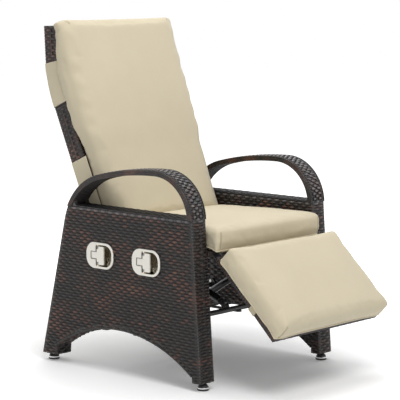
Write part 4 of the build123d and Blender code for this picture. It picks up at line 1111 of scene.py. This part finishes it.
@dataclass
class BackShell:
    """The woven shell of the back: rows looped round its curved box."""

    half_width: float = 242.0
    thickness: float = 60.0
    lean: float = 24.0
    top_lean: float = 3.0
    bend_radius: float = 423.0
    bend_centre: Tuple[float, float] = (273.573, 972.048)
    start: float = 14.0
    top: float = 1045.0
    pitch: float = 9.0
    wave: float = 31.2
    strapped: Tuple[Tuple[float, float], ...] = (LOWER_STRAP, UPPER_STRAP)
    pressed: float = 0.25
    edging_cut: float = -5.0
    edge_wave: float = 30.0
    edging: Tuple[Tuple[float, float, float], ...] = ((33.0, 1.25, 1.8), (6.0, 0.2, 0.2), (54.0, 0.2, 0.2))

    def under_strap(self, heights: np.ndarray, margin: float) -> np.ndarray:
        """Which heights lie under a strap, a margin inside its edges."""
        heights = np.asarray(heights)
        return np.any([(heights > low + margin) & (heights < high - margin) for low, high in self.strapped], axis=0)

    def line(self, from_rear: float, step: float) -> np.ndarray:
        """Points up the back at a distance in front of its rear face, with rearward normals."""
        radius = self.bend_radius - from_rear
        lean = math.radians(self.lean)
        across = self.thickness / 2 - from_rear
        start = np.array(
            [
                HINGE_BACK[0] + self.start * math.sin(lean) + across * math.cos(lean),
                HINGE_BACK[1] + self.start * math.cos(lean) - across * math.sin(lean),
            ]
        )
        bend = np.array(self.bend_centre)
        low = bend + radius * np.array([math.cos(-lean), math.sin(-lean)])
        rows = []
        length = np.linalg.norm(low - start)
        for share in np.arange(0, length, step) / length:
            rows.append((*(start + (low - start) * share), math.cos(-lean), math.sin(-lean)))
        top_lean = math.radians(self.top_lean)
        count = max(3, int(round(radius * (lean - top_lean) / step)))
        for angle in np.linspace(-lean, -top_lean, count, endpoint=False):
            direction = np.array([math.cos(angle), math.sin(angle)])
            rows.append((*(bend + radius * direction), *direction))
        high = bend + radius * np.array([math.cos(-top_lean), math.sin(-top_lean)])
        rise = (self.top - high[1]) / math.cos(top_lean)
        for along in np.arange(0, rise, step):
            rows.append(
                (
                    high[0] + along * math.sin(top_lean), high[1] + along * math.cos(top_lean),
                    math.cos(-top_lean), math.sin(-top_lean),
                )
            )
        return np.array(rows)

    def build(self) -> None:
        """Build the rows and the corner strands over the CAD shell."""
        resin_and_painted_shade = finished("resin_strand", ResinStrand())
        half_thick = self.thickness / 2
        strands = StrandSet("back_rows", hump=2.0, thickness=2.6, seed=19)
        places, normals, sides, fades = loop_round(self.half_width - 0.4, half_thick - 0.4, 4.0, 5.2)
        across, inwards = places[:, 0], places[:, 1]
        long_side = (sides == 0) | (sides == 2)
        run = np.where(long_side, across / self.wave, inwards / self.edge_wave + 0.25)
        fades = np.where(sides == 2, 0.0, fades)
        for number, (depth, height, out_y, out_z) in enumerate(self.line(half_thick, self.pitch)):
            if number == 0:
                continue
            points = np.stack([across, depth + out_y * inwards, height + out_z * inwards], 1)
            outs = np.stack([normals[:, 0], out_y * normals[:, 1], out_z * normals[:, 1]], 1)
            share = self.pressed if self.under_strap(height, 1.0) else 1.0
            strands.lay(points, outs, 2 * math.pi * run + math.pi * number, fades * share, True)
        strands.build("back", resin_and_painted_shade)
        edging = StrandSet("back_edging", width=5.2, thickness=2.4, hump=0.0, seed=23)
        for from_rear, tone, proud in self.edging:
            line = self.line(from_rear, 12.0)[1:]
            count = len(line)
            bare = ~self.under_strap(line[:, 1], self.edging_cut)
            for side in (-1, 1):
                points = np.stack([np.full(count, side * (self.half_width + proud)), line[:, 0], line[:, 1]], 1)
                outs = np.tile([float(side), 0.0, 0.0], (count, 1))
                edging.lay(points, outs, np.zeros(count), np.zeros(count), False, bare, tone)
        edging.build("back", resin_and_painted_shade)


# Handles


@dataclass
class HandleSlitShade:
    """A flat dark strip on a handle's plate round the tab of its paddle: painted shade for the slit there."""

    name: str
    depth: float
    height: float = HANDLE_HEIGHT
    outer: float = 313.0
    tab_reach: float = 37.4
    tab_half: float = 11.4
    slot_start: float = 16.0
    slot_half: float = 29.0

    def build(self) -> None:
        """Lay the painted slit shade as a flat dark strip, open where the recess begins."""
        start, reach, tab, slot = self.slot_start, self.tab_reach, self.tab_half, self.slot_half
        corners = [(start, slot), (start, tab), (reach, tab), (reach, -tab), (start, -tab), (start, -slot)]
        rows = []
        for (y0, z0), (y1, z1) in zip(corners[:-1], corners[1:]):
            for share in np.linspace(0, 1, 6, endpoint=False):
                rows.append((-self.outer, self.depth + y0 + (y1 - y0) * share, self.height + z0 + (z1 - z0) * share))
        rows.append((-self.outer, self.depth + start, self.height - slot))
        count = len(rows)
        strip = StrandSet(self.name, width=1.8, thickness=0.5, hump=0.0)
        outs = np.tile([-1.0, 0.0, 0.0], (count, 1))
        strip.lay(np.array(rows), outs, np.zeros(count), np.zeros(count), False, tone=0.0)
        # The strip borrows the near-black rubber finish for its painted shade.
        strip.build("base", Finish.RUBBER.material())


# Cushions


@dataclass
class Cushion:
    """A padded cover: a rounded box shaped by its maker, then inflated a little by simulation."""

    name: str
    node: str
    body: str
    half: Tuple[float, float, float]
    corner: float
    fill: float = 0.75
    swell: float = 3.0
    cap: float = 6.0
    voxel: float = 6.0
    puckered: float = 0.5
    frames: int = 20
    smoothing: int = 3
    piping_width: float = 4.6
    piping_proud: float = 0.9
    off_deck: float = 0.6

    def shape(self, box: np.ndarray) -> np.ndarray:
        """Turn the rounded box's points into layout millimetres. Each cushion has its own."""
        return box

    def seam_lines(self) -> List[np.ndarray]:
        """The sewn lines in layout millimetres. Each cushion has its own."""
        return []

    def rounded_box(self) -> bpy.types.Mesh:
        """A box with rounded edges, cut finely enough to bend and most finely at its edges."""
        cuts, bunching = 44, 1.25
        shape = bmesh.new()
        bmesh.ops.create_cube(shape, size=2.0)
        bmesh.ops.subdivide_edges(shape, edges=shape.edges[:], cuts=cuts, use_grid_fill=True)
        points = np.array([vertex.co for vertex in shape.verts])
        half = np.array(self.half)
        grown = np.sign(points) * (1 - (1 - np.abs(points)) ** bunching) * half
        core = np.clip(grown, -(half - self.corner), half - self.corner)
        away = grown - core
        length = np.linalg.norm(away, axis=1, keepdims=True)
        box = np.where(length > 0, core + away / np.maximum(length, TINY) * self.corner, grown)
        placed = place(self.shape(box))
        for vertex, position in zip(shape.verts, placed):
            vertex.co = position
        mesh = bpy.data.meshes.new(self.name)
        shape.to_mesh(mesh)
        shape.free()
        return mesh

    def build(self, cloth: bpy.types.Material) -> bpy.types.Object:
        """Build, inflate, sew and dress the cushion.

        Args:
            cloth: the cover's finish.

        Returns:
            The finished object.
        """
        piece = linked(self.name, self.rounded_box())
        self.inflate(piece)
        self.refine(piece)
        self.sew(piece)
        self.pipe(piece, cloth)
        piece.data.materials.append(cloth)
        piece.data.polygons.foreach_set("use_smooth", np.ones(len(piece.data.polygons), bool))
        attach(piece, self.body)
        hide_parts(self.node)
        log.info("%s: %d faces", self.name, len(piece.data.polygons))
        return piece

    def _apply(self, piece: bpy.types.Object) -> None:
        """Replace a piece's mesh by its evaluated one and drop its modifiers."""
        mesh = bpy.data.meshes.new_from_object(piece.evaluated_get(bpy.context.evaluated_depsgraph_get()))
        piece.modifiers.clear()
        piece.data = mesh

    def inflate(self, piece: bpy.types.Object) -> None:
        """Remesh the piece and blow it up a little as cloth, each point held near where it began."""
        remesh = piece.modifiers.new("even", "REMESH")
        remesh.mode = "VOXEL"
        remesh.voxel_size = self.voxel * MM
        self._apply(piece)
        start = self.spots(piece)
        settings = piece.modifiers.new("cover", "CLOTH").settings
        settings.use_pressure = True
        settings.uniform_pressure_force = self.swell
        settings.effector_weights.gravity = 0.0
        settings.quality = 4
        settings.tension_stiffness = settings.compression_stiffness = 30
        settings.bending_stiffness = 2.0
        scene = bpy.context.scene
        for number in range(1, self.frames + 1):
            scene.frame_set(number)
        moved = self.spots(piece.evaluated_get(bpy.context.evaluated_depsgraph_get())) - start
        piece.modifiers.clear()
        scene.frame_set(1)
        length = np.linalg.norm(moved, axis=1, keepdims=True)
        limit = self.cap * MM
        moved *= limit * np.tanh(length / limit) / np.maximum(length, TINY)
        self.rest(piece, start + moved)

    def spots(self, piece: bpy.types.Object) -> np.ndarray:
        """The places of a piece's vertices."""
        found = np.empty(len(piece.data.vertices) * 3, np.float32)
        piece.data.vertices.foreach_get("co", found)
        return found.reshape(-1, 3).astype(float)

    def rest(self, piece: bpy.types.Object, points: np.ndarray) -> None:
        """Give a piece's vertices their settled places."""
        piece.data.vertices.foreach_set("co", self.settle(points).astype(np.float32).ravel())

    def settle(self, points: np.ndarray) -> np.ndarray:
        """Keep the blown-up points out of what the cushion rests on. Each cushion has its own."""
        return points

    def refine(self, piece: bpy.types.Object) -> None:
        """One subdivision."""
        finer = piece.modifiers.new("finer", "SUBSURF")
        finer.levels = finer.render_levels = 1
        self._apply(piece)

    def piping_line(self) -> Optional[np.ndarray]:
        """The closed line of the cushion's piping in layout millimetres, if it has any."""
        return None

    def pipe(self, piece: bpy.types.Object, cloth: bpy.types.Material) -> None:
        """Lay the piping on the finished cover.

        Args:
            piece: the cover.
            cloth: the piping's finish.
        """
        line = self.piping_line()
        if line is None:
            return
        cover = piece.data
        tree = kdtree.KDTree(len(cover.vertices))
        for index, vertex in enumerate(cover.vertices):
            tree.insert(vertex.co, index)
        tree.balance()
        found = [tree.find(Vector(point)) for point in place(line)]
        normals = np.array([cover.vertices[index].normal for _, index, _ in found])
        points = np.array([spot for spot, _, _ in found]) / MM
        points[:, 1] += MIDDLE_DEPTH
        for _ in range(self.smoothing):
            points = (np.roll(points, 1, 0) + 2 * points + np.roll(points, -1, 0)) / 4
        points += normals * self.piping_proud
        cord = StrandSet(
            self.name + "_piping", width=self.piping_width, thickness=self.piping_width, hump=0.0
        )
        count = len(points)
        cord.lay(points, normals, np.zeros(count), np.zeros(count), True, tone=0.0)
        cord.build(self.body, cloth)

    def traced(self, line: np.ndarray, points: np.ndarray) -> np.ndarray:
        """A seam's line in fine steps, brought onto the cover's points."""
        step = 5.0
        sizes = np.concatenate([[0], np.cumsum(np.linalg.norm(np.diff(line, axis=0), axis=1))])
        steps = np.linspace(0, sizes[-1], max(2, int(sizes[-1] / step)))
        track = place(np.stack([np.interp(steps, sizes, line[:, axis]) for axis in range(3)], 1))
        found = np.array([points[np.argmin(((points - spot) ** 2).sum(1))] for spot in track])
        for _ in range(self.smoothing):
            found[1:-1] = (found[:-2] + 2 * found[1:-1] + found[2:]) / 4
        return found

    def sew(self, piece: bpy.types.Object) -> None:
        """Press the seams into the cover, pucker the cloth beside them and mark them for the finish's painted seam
        shade.
        """
        seam_reach, seam_depth, flat_reach, pucker_reach = (length * MM for length in (2.2, 1.6, 3.0, 20.0))
        wave, ripple, sway = 150.0, 263.0, 41.0
        points = self.spots(piece)
        count = len(points)
        normals = np.empty(count * 3, np.float32)
        piece.data.vertex_normals.foreach_get("vector", normals)
        normals = normals.reshape(-1, 3)
        mark = np.zeros(count)
        pucker = np.zeros(count)
        for number, line in enumerate(self.seam_lines()):
            nearest, run = self.beside(self.traced(line, points), points)
            mark = np.maximum(mark, bell(nearest, seam_reach))
            waves = np.sin(run * wave + 1.7 * np.sin(run * sway + number)) + 0.6 * np.sin(run * ripple + number)
            pucker += bell(nearest, pucker_reach) * (1 - bell(nearest, flat_reach)) * waves
        points -= normals * (mark * seam_depth + pucker * self.puckered * MM)[:, None]
        piece.data.vertices.foreach_set("co", points.astype(np.float32).ravel())
        layer = piece.data.attributes.new("seam", "FLOAT", "POINT")
        layer.data.foreach_set("value", mark.astype(np.float32))
        piece.data.update()

    def beside(self, track: np.ndarray, points: np.ndarray) -> Tuple[np.ndarray, np.ndarray]:
        """Each point's distance from a seam's track, and how far along the track it lies."""
        nearest, run, length = np.full(len(points), np.inf), np.zeros(len(points)), 0.0
        for start, finish in zip(track[:-1], track[1:]):
            along = finish - start
            size = float(np.linalg.norm(along))
            share = np.clip(((points - start) @ along) / (size * size), 0, 1)
            gap = np.linalg.norm(points - (start + share[:, None] * along), axis=1)
            closer = gap < nearest
            run[closer] = length + share[closer] * size
            nearest = np.minimum(nearest, gap)
            length += size
        return nearest, run


@dataclass
class SeatCushion(Cushion):
    """The seat cushion, flat below and crowned above."""

    front: float = -33.0
    rear: float = 402.0
    sag: float = 8.0
    crown: float = 7.0
    rear_sink: float = 11.0
    rear_roll: float = 6.0
    pull: float = 0.012
    tuck: float = 6.0
    widest: float = 244.2
    seam_place: float = 227.0

    def __post_init__(self) -> None:
        """Work out the cushion's middle."""
        self.middle = (self.front + self.rear) / 2

    def ahead(self, depths: np.ndarray) -> np.ndarray:
        """One where the cushion hangs over the deck's front edge, nothing where it rests on the deck."""
        return rising(-depths, 6.0, 12.0)

    def shape(self, box: np.ndarray) -> np.ndarray:
        """Crown the top, pull in the sides and round the rear down a little."""
        x, y, z = box.T
        u, v = x / self.half[0], y / self.half[1]
        depth = self.middle + y
        lift = rising(z, -self.half[2], 2 * self.half[2])
        crown = self.crown * (1 - u**2) * (1 - v**2) * lift
        sink = self.rear_sink * rising(v, -0.45, 1.45) ** 1.3
        drop = (sink + self.rear_roll * rising(v, 0.85, 0.15) ** 2) * lift
        sag = self.sag * self.ahead(depth) * (1 - lift)
        under = self.tuck * rising(-v, 0.9, 0.1) * np.clip(1 - lift * 2.5, 0, 1)
        height = DECK_TOP + self.off_deck + self.half[2] + z + crown - drop - sag
        return np.stack([x * (1 - self.pull * (1 - v**2)), depth + under, height], 1)

    def settle(self, points: np.ndarray) -> np.ndarray:
        """Hold the underside on the deck and the sides clear of the arms."""
        floor = DECK_TOP + 0.5 - (self.sag + 1.0) * self.ahead(points[:, 1] / MM + MIDDLE_DEPTH)
        points[:, 2] = np.maximum(points[:, 2], floor * MM)
        points[:, 0] = np.clip(points[:, 0], -self.widest * MM, self.widest * MM)
        return points

    def seam_lines(self) -> List[np.ndarray]:
        """Upright seams near the front corners, where the front strip meets the side strips."""
        front = [(self.front - 4, 408.0), (self.front - 5, 440.0), (self.front, 462.0)]
        return [np.array([[side * self.seam_place, *spot] for spot in front]) for side in (-1, 1)]

    def piping_line(self) -> Optional[np.ndarray]:
        """Round the foot of the cushion."""
        places, _, _, _ = loop_round(self.half[0], (self.rear - self.front) / 2, 15.0, 8.0)
        depths = self.middle + places[:, 1]
        return np.stack([places[:, 0], depths, DECK_TOP + 4.5 - self.sag * self.ahead(depths)], 1)


@dataclass
class FootrestCushion(Cushion):
    """The footrest's cushion, built level and swung down."""

    near: float = 22.5
    far: float = 327.0
    deck_end: float = 318.6
    hang: float = 15.0
    belly: float = 8.0
    crown: float = 5.0
    sag: float = 7.0
    hang_fade: float = 44.0
    widest: float = 252.0
    seam_place: float = 238.0

    def __post_init__(self) -> None:
        """Work out the cushion's middle and the swung deck's place and directions, in metres."""
        angle = math.radians(FOOTREST_ANGLE)
        self.middle = HINGE_FOOTREST[0] - (self.near + self.far) / 2
        self.pivot = place(np.array([[0.0, *HINGE_FOOTREST]]))[0]
        self.up = np.array([0.0, -math.sin(angle), math.cos(angle)])
        self.out = np.array([0.0, -math.cos(angle), -math.sin(angle)])

    def shape(self, box: np.ndarray) -> np.ndarray:
        """Crown the top, let the far edge sag, then swing the cushion down with the footrest."""
        x, y, z = box.T
        u, v = x / self.half[0], y / self.half[1]
        lift = rising(z, -self.half[2], 2 * self.half[2])
        crown = self.crown * (1 - u**2) * (1 - v**2) * lift
        sag = self.sag * rising(-v, 0.93, 0.07) * (1 - lift) * np.clip((1 - np.abs(u)) / 0.12, 0, 1)
        level = np.stack([x, self.middle + y, DECK_TOP + self.off_deck + self.half[2] + z + crown - sag], 1)
        return swing(level)

    def droop(self, points: np.ndarray) -> np.ndarray:
        """How far each point of the sides hangs below its place, in metres, to cover the deck's edge."""
        height = ((points - self.pivot) @ self.up) / MM - (DECK_TOP - HINGE_FOOTREST[1])
        side = rising(np.abs(points[:, 0]) / MM, 240.0, 5.0)
        along = ((points - self.pivot) @ self.out) / MM
        return self.hanging(along) * MM * side * np.clip(1 - height / self.hang_fade, 0, 1)

    def hanging(self, along: np.ndarray) -> np.ndarray:
        """How far the sides hang at a distance from the hinge, most at the middle."""
        return self.hang + self.belly * np.sin(math.pi * rising(along, self.near, self.far - self.near))

    def settle(self, points: np.ndarray) -> np.ndarray:
        """Bring the cover back to its width and its far end, and hold its underside on the footrest's deck."""
        points[:, 0] *= self.half[0] * MM / np.abs(points[:, 0]).max()
        along = (points - self.pivot) @ self.out
        regained = (self.far * MM - along.max()) * np.clip(along / along.max() * 2.5 - 1.5, 0, 1) ** 2
        points += regained[:, None] * self.out
        depth = (points - self.pivot) @ self.up
        inside = (points - self.pivot) @ self.out < (self.deck_end + 2.0) * MM
        low = np.where(inside, (DECK_TOP - HINGE_FOOTREST[1] + 0.5) * MM, -4.0 * MM)
        points += np.maximum(low - depth, 0)[:, None] * self.up
        points[:, 0] = np.clip(points[:, 0], -self.widest * MM, self.widest * MM)
        return points - self.droop(points)[:, None] * self.up

    def seam_lines(self) -> List[np.ndarray]:
        """Short seams at the far corners, from the top edge down to the base."""
        depth = HINGE_FOOTREST[0] - self.far + 4
        ends = (DECK_TOP + 4, DECK_TOP + 58)
        return [
            swing(np.array([[side * self.seam_place, depth, height] for height in ends])) for side in (-1, 1)
        ]

    def piping_line(self) -> Optional[np.ndarray]:
        """Round the foot of the cushion."""
        places, _, _, _ = loop_round(self.half[0] + 1.0, (self.far - self.near) / 2, 13.0, 8.0)
        side = rising(np.abs(places[:, 0]), 245.5, 3.0)
        heights = DECK_TOP + 4.0 - self.hanging(HINGE_FOOTREST[0] - self.middle - places[:, 1]) * side
        return swing(np.stack([places[:, 0], self.middle + places[:, 1], heights], 1))


@dataclass
class BackCushion(Cushion):
    """The tall back cushion: straight in front, curved behind to follow the shell."""

    shell: BackShell = field(default_factory=BackShell)
    low: float = 445.0
    high: float = 1070.0
    arm_clear: float = 650.0
    clear_over: float = 90.0
    overhang: float = 13.0
    roll: float = 44.0
    roll_depth: float = 21.0
    hug: float = 7.0
    ear: float = 8.0
    ear_reach: float = 22.0
    front_start: Tuple[float, float] = (407.0, 456.0)
    front_slope: float = 0.3404
    front_swell: float = 8.0
    foot_swell: float = 25.0
    step: Tuple[float, float] = (444.0, 9.0)
    widest: float = 244.2
    dimple: float = 2.2
    seam_place: float = 243.5

    def front(self, height: np.ndarray) -> np.ndarray:
        """Depth of the front face at a height: it swells forward above the seat cushion."""
        share = np.clip((self.high - height) / (self.high - self.low), 0, 1)
        forward = (self.front_swell + self.foot_swell * share**1.8) * eased(rising(height, *self.step))
        depth, level = self.front_start
        return depth + (height - level) * self.front_slope - forward

    def rear(self, height: np.ndarray) -> np.ndarray:
        """Depth of the shell's front face at a height, where the cushion rests."""
        line = self.shell.line(self.shell.thickness, 5.0)
        level = np.minimum(height, self.shell.top)
        return np.interp(level, line[:, 1], line[:, 0]) - 0.8

    def shape(self, box: np.ndarray) -> np.ndarray:
        """Fit the box between the straight front and the curved shell."""
        x, y, z = box.T
        u, w = x / self.half[0], z / self.half[2]
        height = (self.low + self.high) / 2 + z
        share = (y + self.half[1]) / (2 * self.half[1])
        front, rear = self.front(height), self.rear(height)
        free = eased(rising(height, self.arm_clear, self.clear_over))
        x = x * (1 + self.overhang / self.half[0] * free)
        wide = np.abs(x)
        crown = (6.0 + 4.0 * free) * (1 - u**2) * (1 - w**2) * (1 - share)
        edge = rising(wide, self.half[0] + self.overhang * free - self.roll, self.roll)
        rolled = self.roll_depth * (1 - np.sqrt(1 - edge**2)) * (1 - share)
        behind = self.hug * rising(wide, 245.0, 6.0) * np.clip(share * 2 - 1, 0, 1) * free
        corner = rising(np.abs(u), 0.9, 0.1) * rising(w, 0.93, 0.07)
        height = height - (4.0 + 16.0 * share) * corner**1.4
        return np.stack([x, front + (rear - front) * share - crown + rolled + behind, height], 1)

    def settle(self, points: np.ndarray) -> np.ndarray:
        """Hold the rear against the shell, the bottom off the seat and the sides in, with dimples along them."""
        height = points[:, 2] / MM
        free = rising(height, self.arm_clear, self.clear_over)
        beside = rising(np.abs(points[:, 0]) / MM, 247.5, 4.0) * free
        limit = (self.rear(height) + 12.0 * beside - MIDDLE_DEPTH) * MM
        points[:, 1] = np.minimum(points[:, 1], limit)
        widest = (self.widest + (self.overhang + 3.0) * free) * MM
        points[:, 0] = np.clip(points[:, 0], -widest, widest)
        points[:, 2] = np.clip(points[:, 2], (self.low - 3) * MM, (self.high + 4) * MM)
        edge = rising(np.abs(points[:, 0]) / MM, 214.0, 20.0) * free
        rise = points[:, 2] / MM
        waves = np.sin(rise / 17.0 + 2.0 * np.sin(rise / 51.0)) + 0.6 * np.sin(rise / 8.3)
        points[:, 1] += self.dimple * MM * edge * waves
        return self.dog_ear(points)

    def dog_ear(self, points: np.ndarray) -> np.ndarray:
        """Draw the cover out to a small folded ear at both top corners."""
        wide, tall = np.abs(points[:, 0]) / MM, points[:, 2] / MM
        away = np.hypot(wide - self.half[0] - self.overhang, tall - self.high + 14.0)
        pull = self.ear * np.clip(1 - away / self.ear_reach, 0, 1)
        points[:, 0] += np.sign(points[:, 0]) * pull * MM
        points[:, 2] += 0.5 * pull * MM
        return points

    def seam_lines(self) -> List[np.ndarray]:
        """Long seams down both sides, near the rear edge, and the folds of the ears."""
        top, count = 1040, 40
        heights = np.linspace(470, top, count)
        depths = self.rear(heights) - 5.0
        lines = [np.stack([np.full(count, side * self.seam_place), depths, heights], 1) for side in (-1, 1)]
        front = float(self.front(np.array([float(top)]))[0])
        wide = self.half[0] + self.overhang
        for side in (-1, 1):
            fold = [[side * (wide - 24), front + 32, 1067.0], [side * (wide - 34), front + 6, 1056.0]]
            lines.append(np.array(fold))
        return lines


@dataclass
class BackStrap:
    """A band of cushion cloth that grips the back's shell, open to the front."""

    node: str
    low: float
    high: float
    slant: float = 0.0
    outside: float = 3.2
    ahead: float = 0.0
    flat: Tuple[float, float] = (0.62, 0.15)
    rows: int = 26
    columns: int = 150
    corner: float = 6.0
    cloth_thickness: float = 1.4
    shell: BackShell = field(default_factory=BackShell)

    def __post_init__(self) -> None:
        """Work out the band's half width and how far its sides reach forward."""
        self.half = self.shell.half_width + self.outside
        self.depth = self.shell.thickness + self.outside + self.ahead

    def path(self) -> List[Tuple[float, float]]:
        """The band's course round the shell, across and inwards from the shell's rear face."""
        turned = self.corner
        edge = [(-self.half, self.depth - 1.5)]
        edge += [(-self.half, inwards) for inwards in np.linspace(self.depth - 4, turned, 14)]
        edge += [
            (-self.half + turned * (1 - math.cos(angle)), turned - turned * math.sin(angle))
            for angle in np.linspace(0.2, 1.4, 5)
        ]
        rear = [(x, -self.outside) for x in np.linspace(-self.half + 8, self.half - 8, self.columns)]
        return edge + rear + [(-x, inwards) for x, inwards in reversed(edge)]

    def ripple(self, x: float, inwards: float, height: float) -> float:
        """How far a wrinkle lifts the cloth at a spot."""
        spot = Vector((x * 0.02, inwards * 0.03 + height * 0.02, height * 0.15 - inwards * 0.05))
        return self.outside * 0.5 * noise.noise(spot)

    def vertices(self) -> List[Point]:
        """The band's points, row by row up the shell."""
        line, path = self.shell.line(0.0, 2.0), self.path()
        found = []
        for row, height in enumerate(np.linspace(self.low, self.high, self.rows)):
            n_y, n_z = (np.interp(height, line[:, 1], line[:, axis]) for axis in (2, 3))
            for x, inwards in path:
                ripple = self.ripple(x, inwards, height)
                level = height - self.slant * (row / (self.rows - 1)) * (1 - max(inwards, 0.0) / self.depth)
                out = -inwards + (ripple if abs(x) < self.half - 7 else 0)
                side = ripple if abs(x) > self.half - 1 else 0.0
                depth = np.interp(level, line[:, 1], line[:, 0])
                found.append((x + math.copysign(side, x), depth + n_y * out, level + n_z * out))
        return found

    def build(self, cloth: bpy.types.Material) -> bpy.types.Object:
        """Build the band with slight wrinkles.

        Args:
            cloth: its finish.

        Returns:
            The finished object.
        """
        vertices = self.vertices()
        count = len(vertices) // self.rows
        faces = [
            (r * count + c, r * count + c + 1, (r + 1) * count + c + 1, (r + 1) * count + c)
            for r in range(self.rows - 1)
            for c in range(count - 1)
        ]
        mesh = bpy.data.meshes.new(self.node + "_band")
        mesh.from_pydata(place(np.array(vertices)).tolist(), [], faces)
        piece = linked(self.node + "_band", mesh)
        thick = piece.modifiers.new("cloth", "SOLIDIFY")
        thick.thickness = self.cloth_thickness * MM
        thick.offset = 0.0
        mesh.materials.append(cloth)
        mesh.polygons.foreach_set("use_smooth", np.ones(len(mesh.polygons), bool))
        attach(piece, "back")
        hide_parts(self.node)
        return piece


# Studio


@dataclass
class Studio:
    """Pale floor, white surroundings, soft lamps and the photograph's camera."""

    camera_place: Point = (-3978.2, -3348.1, 1208.1)
    forward: Point = (0.7346, 0.6661, -0.1288)
    lens: float = 157.1

    def build(self) -> None:
        """Build the floor, lamps, world and camera."""
        self.floor()
        self.lamps()
        self.world()
        self.camera()

    def floor(self) -> None:
        """A wide pale floor that shows white to the camera but keeps the chair's shadow."""
        half, below, pale, lit = 12.0, -0.0004, 0.93, 0.8
        mesh = bpy.data.meshes.new("floor")
        corners = [(-half, -half), (half, -half), (half, half), (-half, half)]
        mesh.from_pydata([(x, y, below) for x, y in corners], [], [(0, 1, 2, 3)])
        floor = linked("floor", mesh)
        shader = Shader("pale_floor")
        x, y, _ = shader.node("ShaderNodeSeparateXYZ", {}, [shader.place()]).outputs
        x, y = Value(shader, x), Value(shader, y)
        away = (x * x + y * y).power(0.5)
        glow = shader.ramp((away - 0.5) * 0.8, [(0.0, (0.2, 0.2, 0.2)), (1.0, (1.0, 1.0, 1.0))])
        path = shader.node("ShaderNodeLightPath").outputs
        seen = Value(shader, path["Is Camera Ray"]) + Value(shader, path["Is Glossy Ray"])
        shown = (seen + Value(shader, path["Is Transmission Ray"])).clamp()
        glow = shader.mixed(shown, (0.05, 0.05, 0.05), glow)
        material = shader.finish(
            Base_Color=(pale, pale, pale, 1.0), Roughness=0.9, Specular_IOR_Level=0.1, Emission_Color=glow,
            Emission_Strength=lit,
        )
        mesh.materials.append(material)

    def lamps(self) -> None:
        """Large soft lamps: a key high on the camera's side, a wide one above, a weak fill and one behind."""
        middle = Vector((0, 0, 0.5))
        for name, spot, size, power in (
            ("key", (-1.3, -2.2, 3.6), 1.8, 72.0),
            ("top", (0.4, 0.5, 3.8), 3.0, 68.0),
            ("fill", (-3.4, -1.0, 1.6), 2.6, 9.0),
            ("rim", (2.6, 2.2, 2.8), 2.4, 22.0),
        ):
            lamp = bpy.data.lights.new(name, "AREA")
            lamp.shape = "DISK"
            lamp.size = size
            lamp.energy = power
            holder = linked(name, lamp)
            holder.location = spot
            holder.rotation_euler = (middle - Vector(spot)).to_track_quat("-Z", "Y").to_euler()

    def world(self) -> None:
        """White behind the chair and in its gloss, soft light elsewhere."""
        world = bpy.data.worlds.new("surroundings")
        world.use_nodes = True
        bpy.context.scene.world = world
        tree = world.node_tree
        tree.nodes.clear()
        path = tree.nodes.new("ShaderNodeLightPath")
        plain, seen = (tree.nodes.new("ShaderNodeBackground") for _ in range(2))
        for background, strength in ((plain, 0.36), (seen, 1.0)):
            background.inputs[0].default_value = (1, 1, 1, 1)
            background.inputs[1].default_value = strength
        either = path.outputs["Is Camera Ray"]
        for ray in ("Is Glossy Ray", "Is Transmission Ray"):
            larger = tree.nodes.new("ShaderNodeMath")
            larger.operation = "MAXIMUM"
            tree.links.new(either, larger.inputs[0])
            tree.links.new(path.outputs[ray], larger.inputs[1])
            either = larger.outputs[0]
        mix = tree.nodes.new("ShaderNodeMixShader")
        tree.links.new(either, mix.inputs[0])
        tree.links.new(plain.outputs[0], mix.inputs[1])
        tree.links.new(seen.outputs[0], mix.inputs[2])
        output = tree.nodes.new("ShaderNodeOutputWorld")
        tree.links.new(mix.outputs[0], output.inputs[0])
        bpy.context.scene.view_settings.view_transform = "Standard"

    def camera(self) -> None:
        """The photograph's camera."""
        data = bpy.data.cameras.new("photograph")
        data.lens = self.lens
        data.sensor_width = 36.0
        data.clip_end = 60.0
        camera = linked("photograph", data)
        forward = Vector(self.forward).normalized()
        right = forward.cross(Vector((0, 0, 1))).normalized()
        up = right.cross(forward)
        turn = Matrix((right, up, -forward)).transposed().to_4x4()
        camera.matrix_world = Matrix.Translation(place(np.array([self.camera_place]))[0]) @ turn
        bpy.context.scene.camera = camera


def dress_nodes() -> None:
    """Give every CAD node that stays its finish."""
    # The woven CAD nodes and decks take the near-black backing: painted shade for the inside of the weave.
    resin_and_painted_shade = finished("weave_backing", BackingShadow())
    for name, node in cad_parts.items():
        finish = NODE_FINISHES.get(name)
        if finish:
            material = finish.material()
        elif name == "footrest_elastic":
            material = Finish.ELASTIC.material()
        elif "weave" in name or "deck" in name:
            material = resin_and_painted_shade
        else:
            continue
        node.data.materials.clear()
        node.data.materials.append(material)
    log.info("dressed %d nodes", len(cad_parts))


def main() -> None:
    """Build the scene, sub-assembly by sub-assembly."""
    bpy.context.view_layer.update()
    Studio().build()
    dress_nodes()
    for side in Side:
        SidePanel(side).build()
    WovenDeck("seat_deck", "base", 3.0, 433.0).build()
    WovenDeck("footrest_weave", "footrest", HINGE_FOOTREST[0] - 318.6, HINGE_FOOTREST[0] - 12.0, turned=True).build()
    BackShell().build()
    for name, depth in zip(("back_handle_slit_shade", "footrest_handle_slit_shade"), HANDLE_DEPTHS):
        HandleSlitShade(name, depth).build()
    cloth = finished("outdoor_cloth", OutdoorCloth())
    SeatCushion("seat_pad", "seat_cushion", "base", half=(242.0, 218.0, 32.6), corner=15.0).build(cloth)
    FootrestCushion(
        "footrest_pad", "footrest_cushion", "footrest", half=(249.5, 152.3, 29.6), corner=13.0
    ).build(cloth)
    BackCushion("back_pad", "back_cushion", "back", half=(243.0, 50.0, 310.5), corner=17.0).build(cloth)
    BackStrap("upper_strap", *UPPER_STRAP, slant=9.0, ahead=4.0, flat=(0.622, 0.148)).build(cloth)
    BackStrap("lower_strap", *LOWER_STRAP, outside=1.9, ahead=12.0, flat=(0.634, 0.173)).build(cloth)


if __name__ == "__main__":
    main()
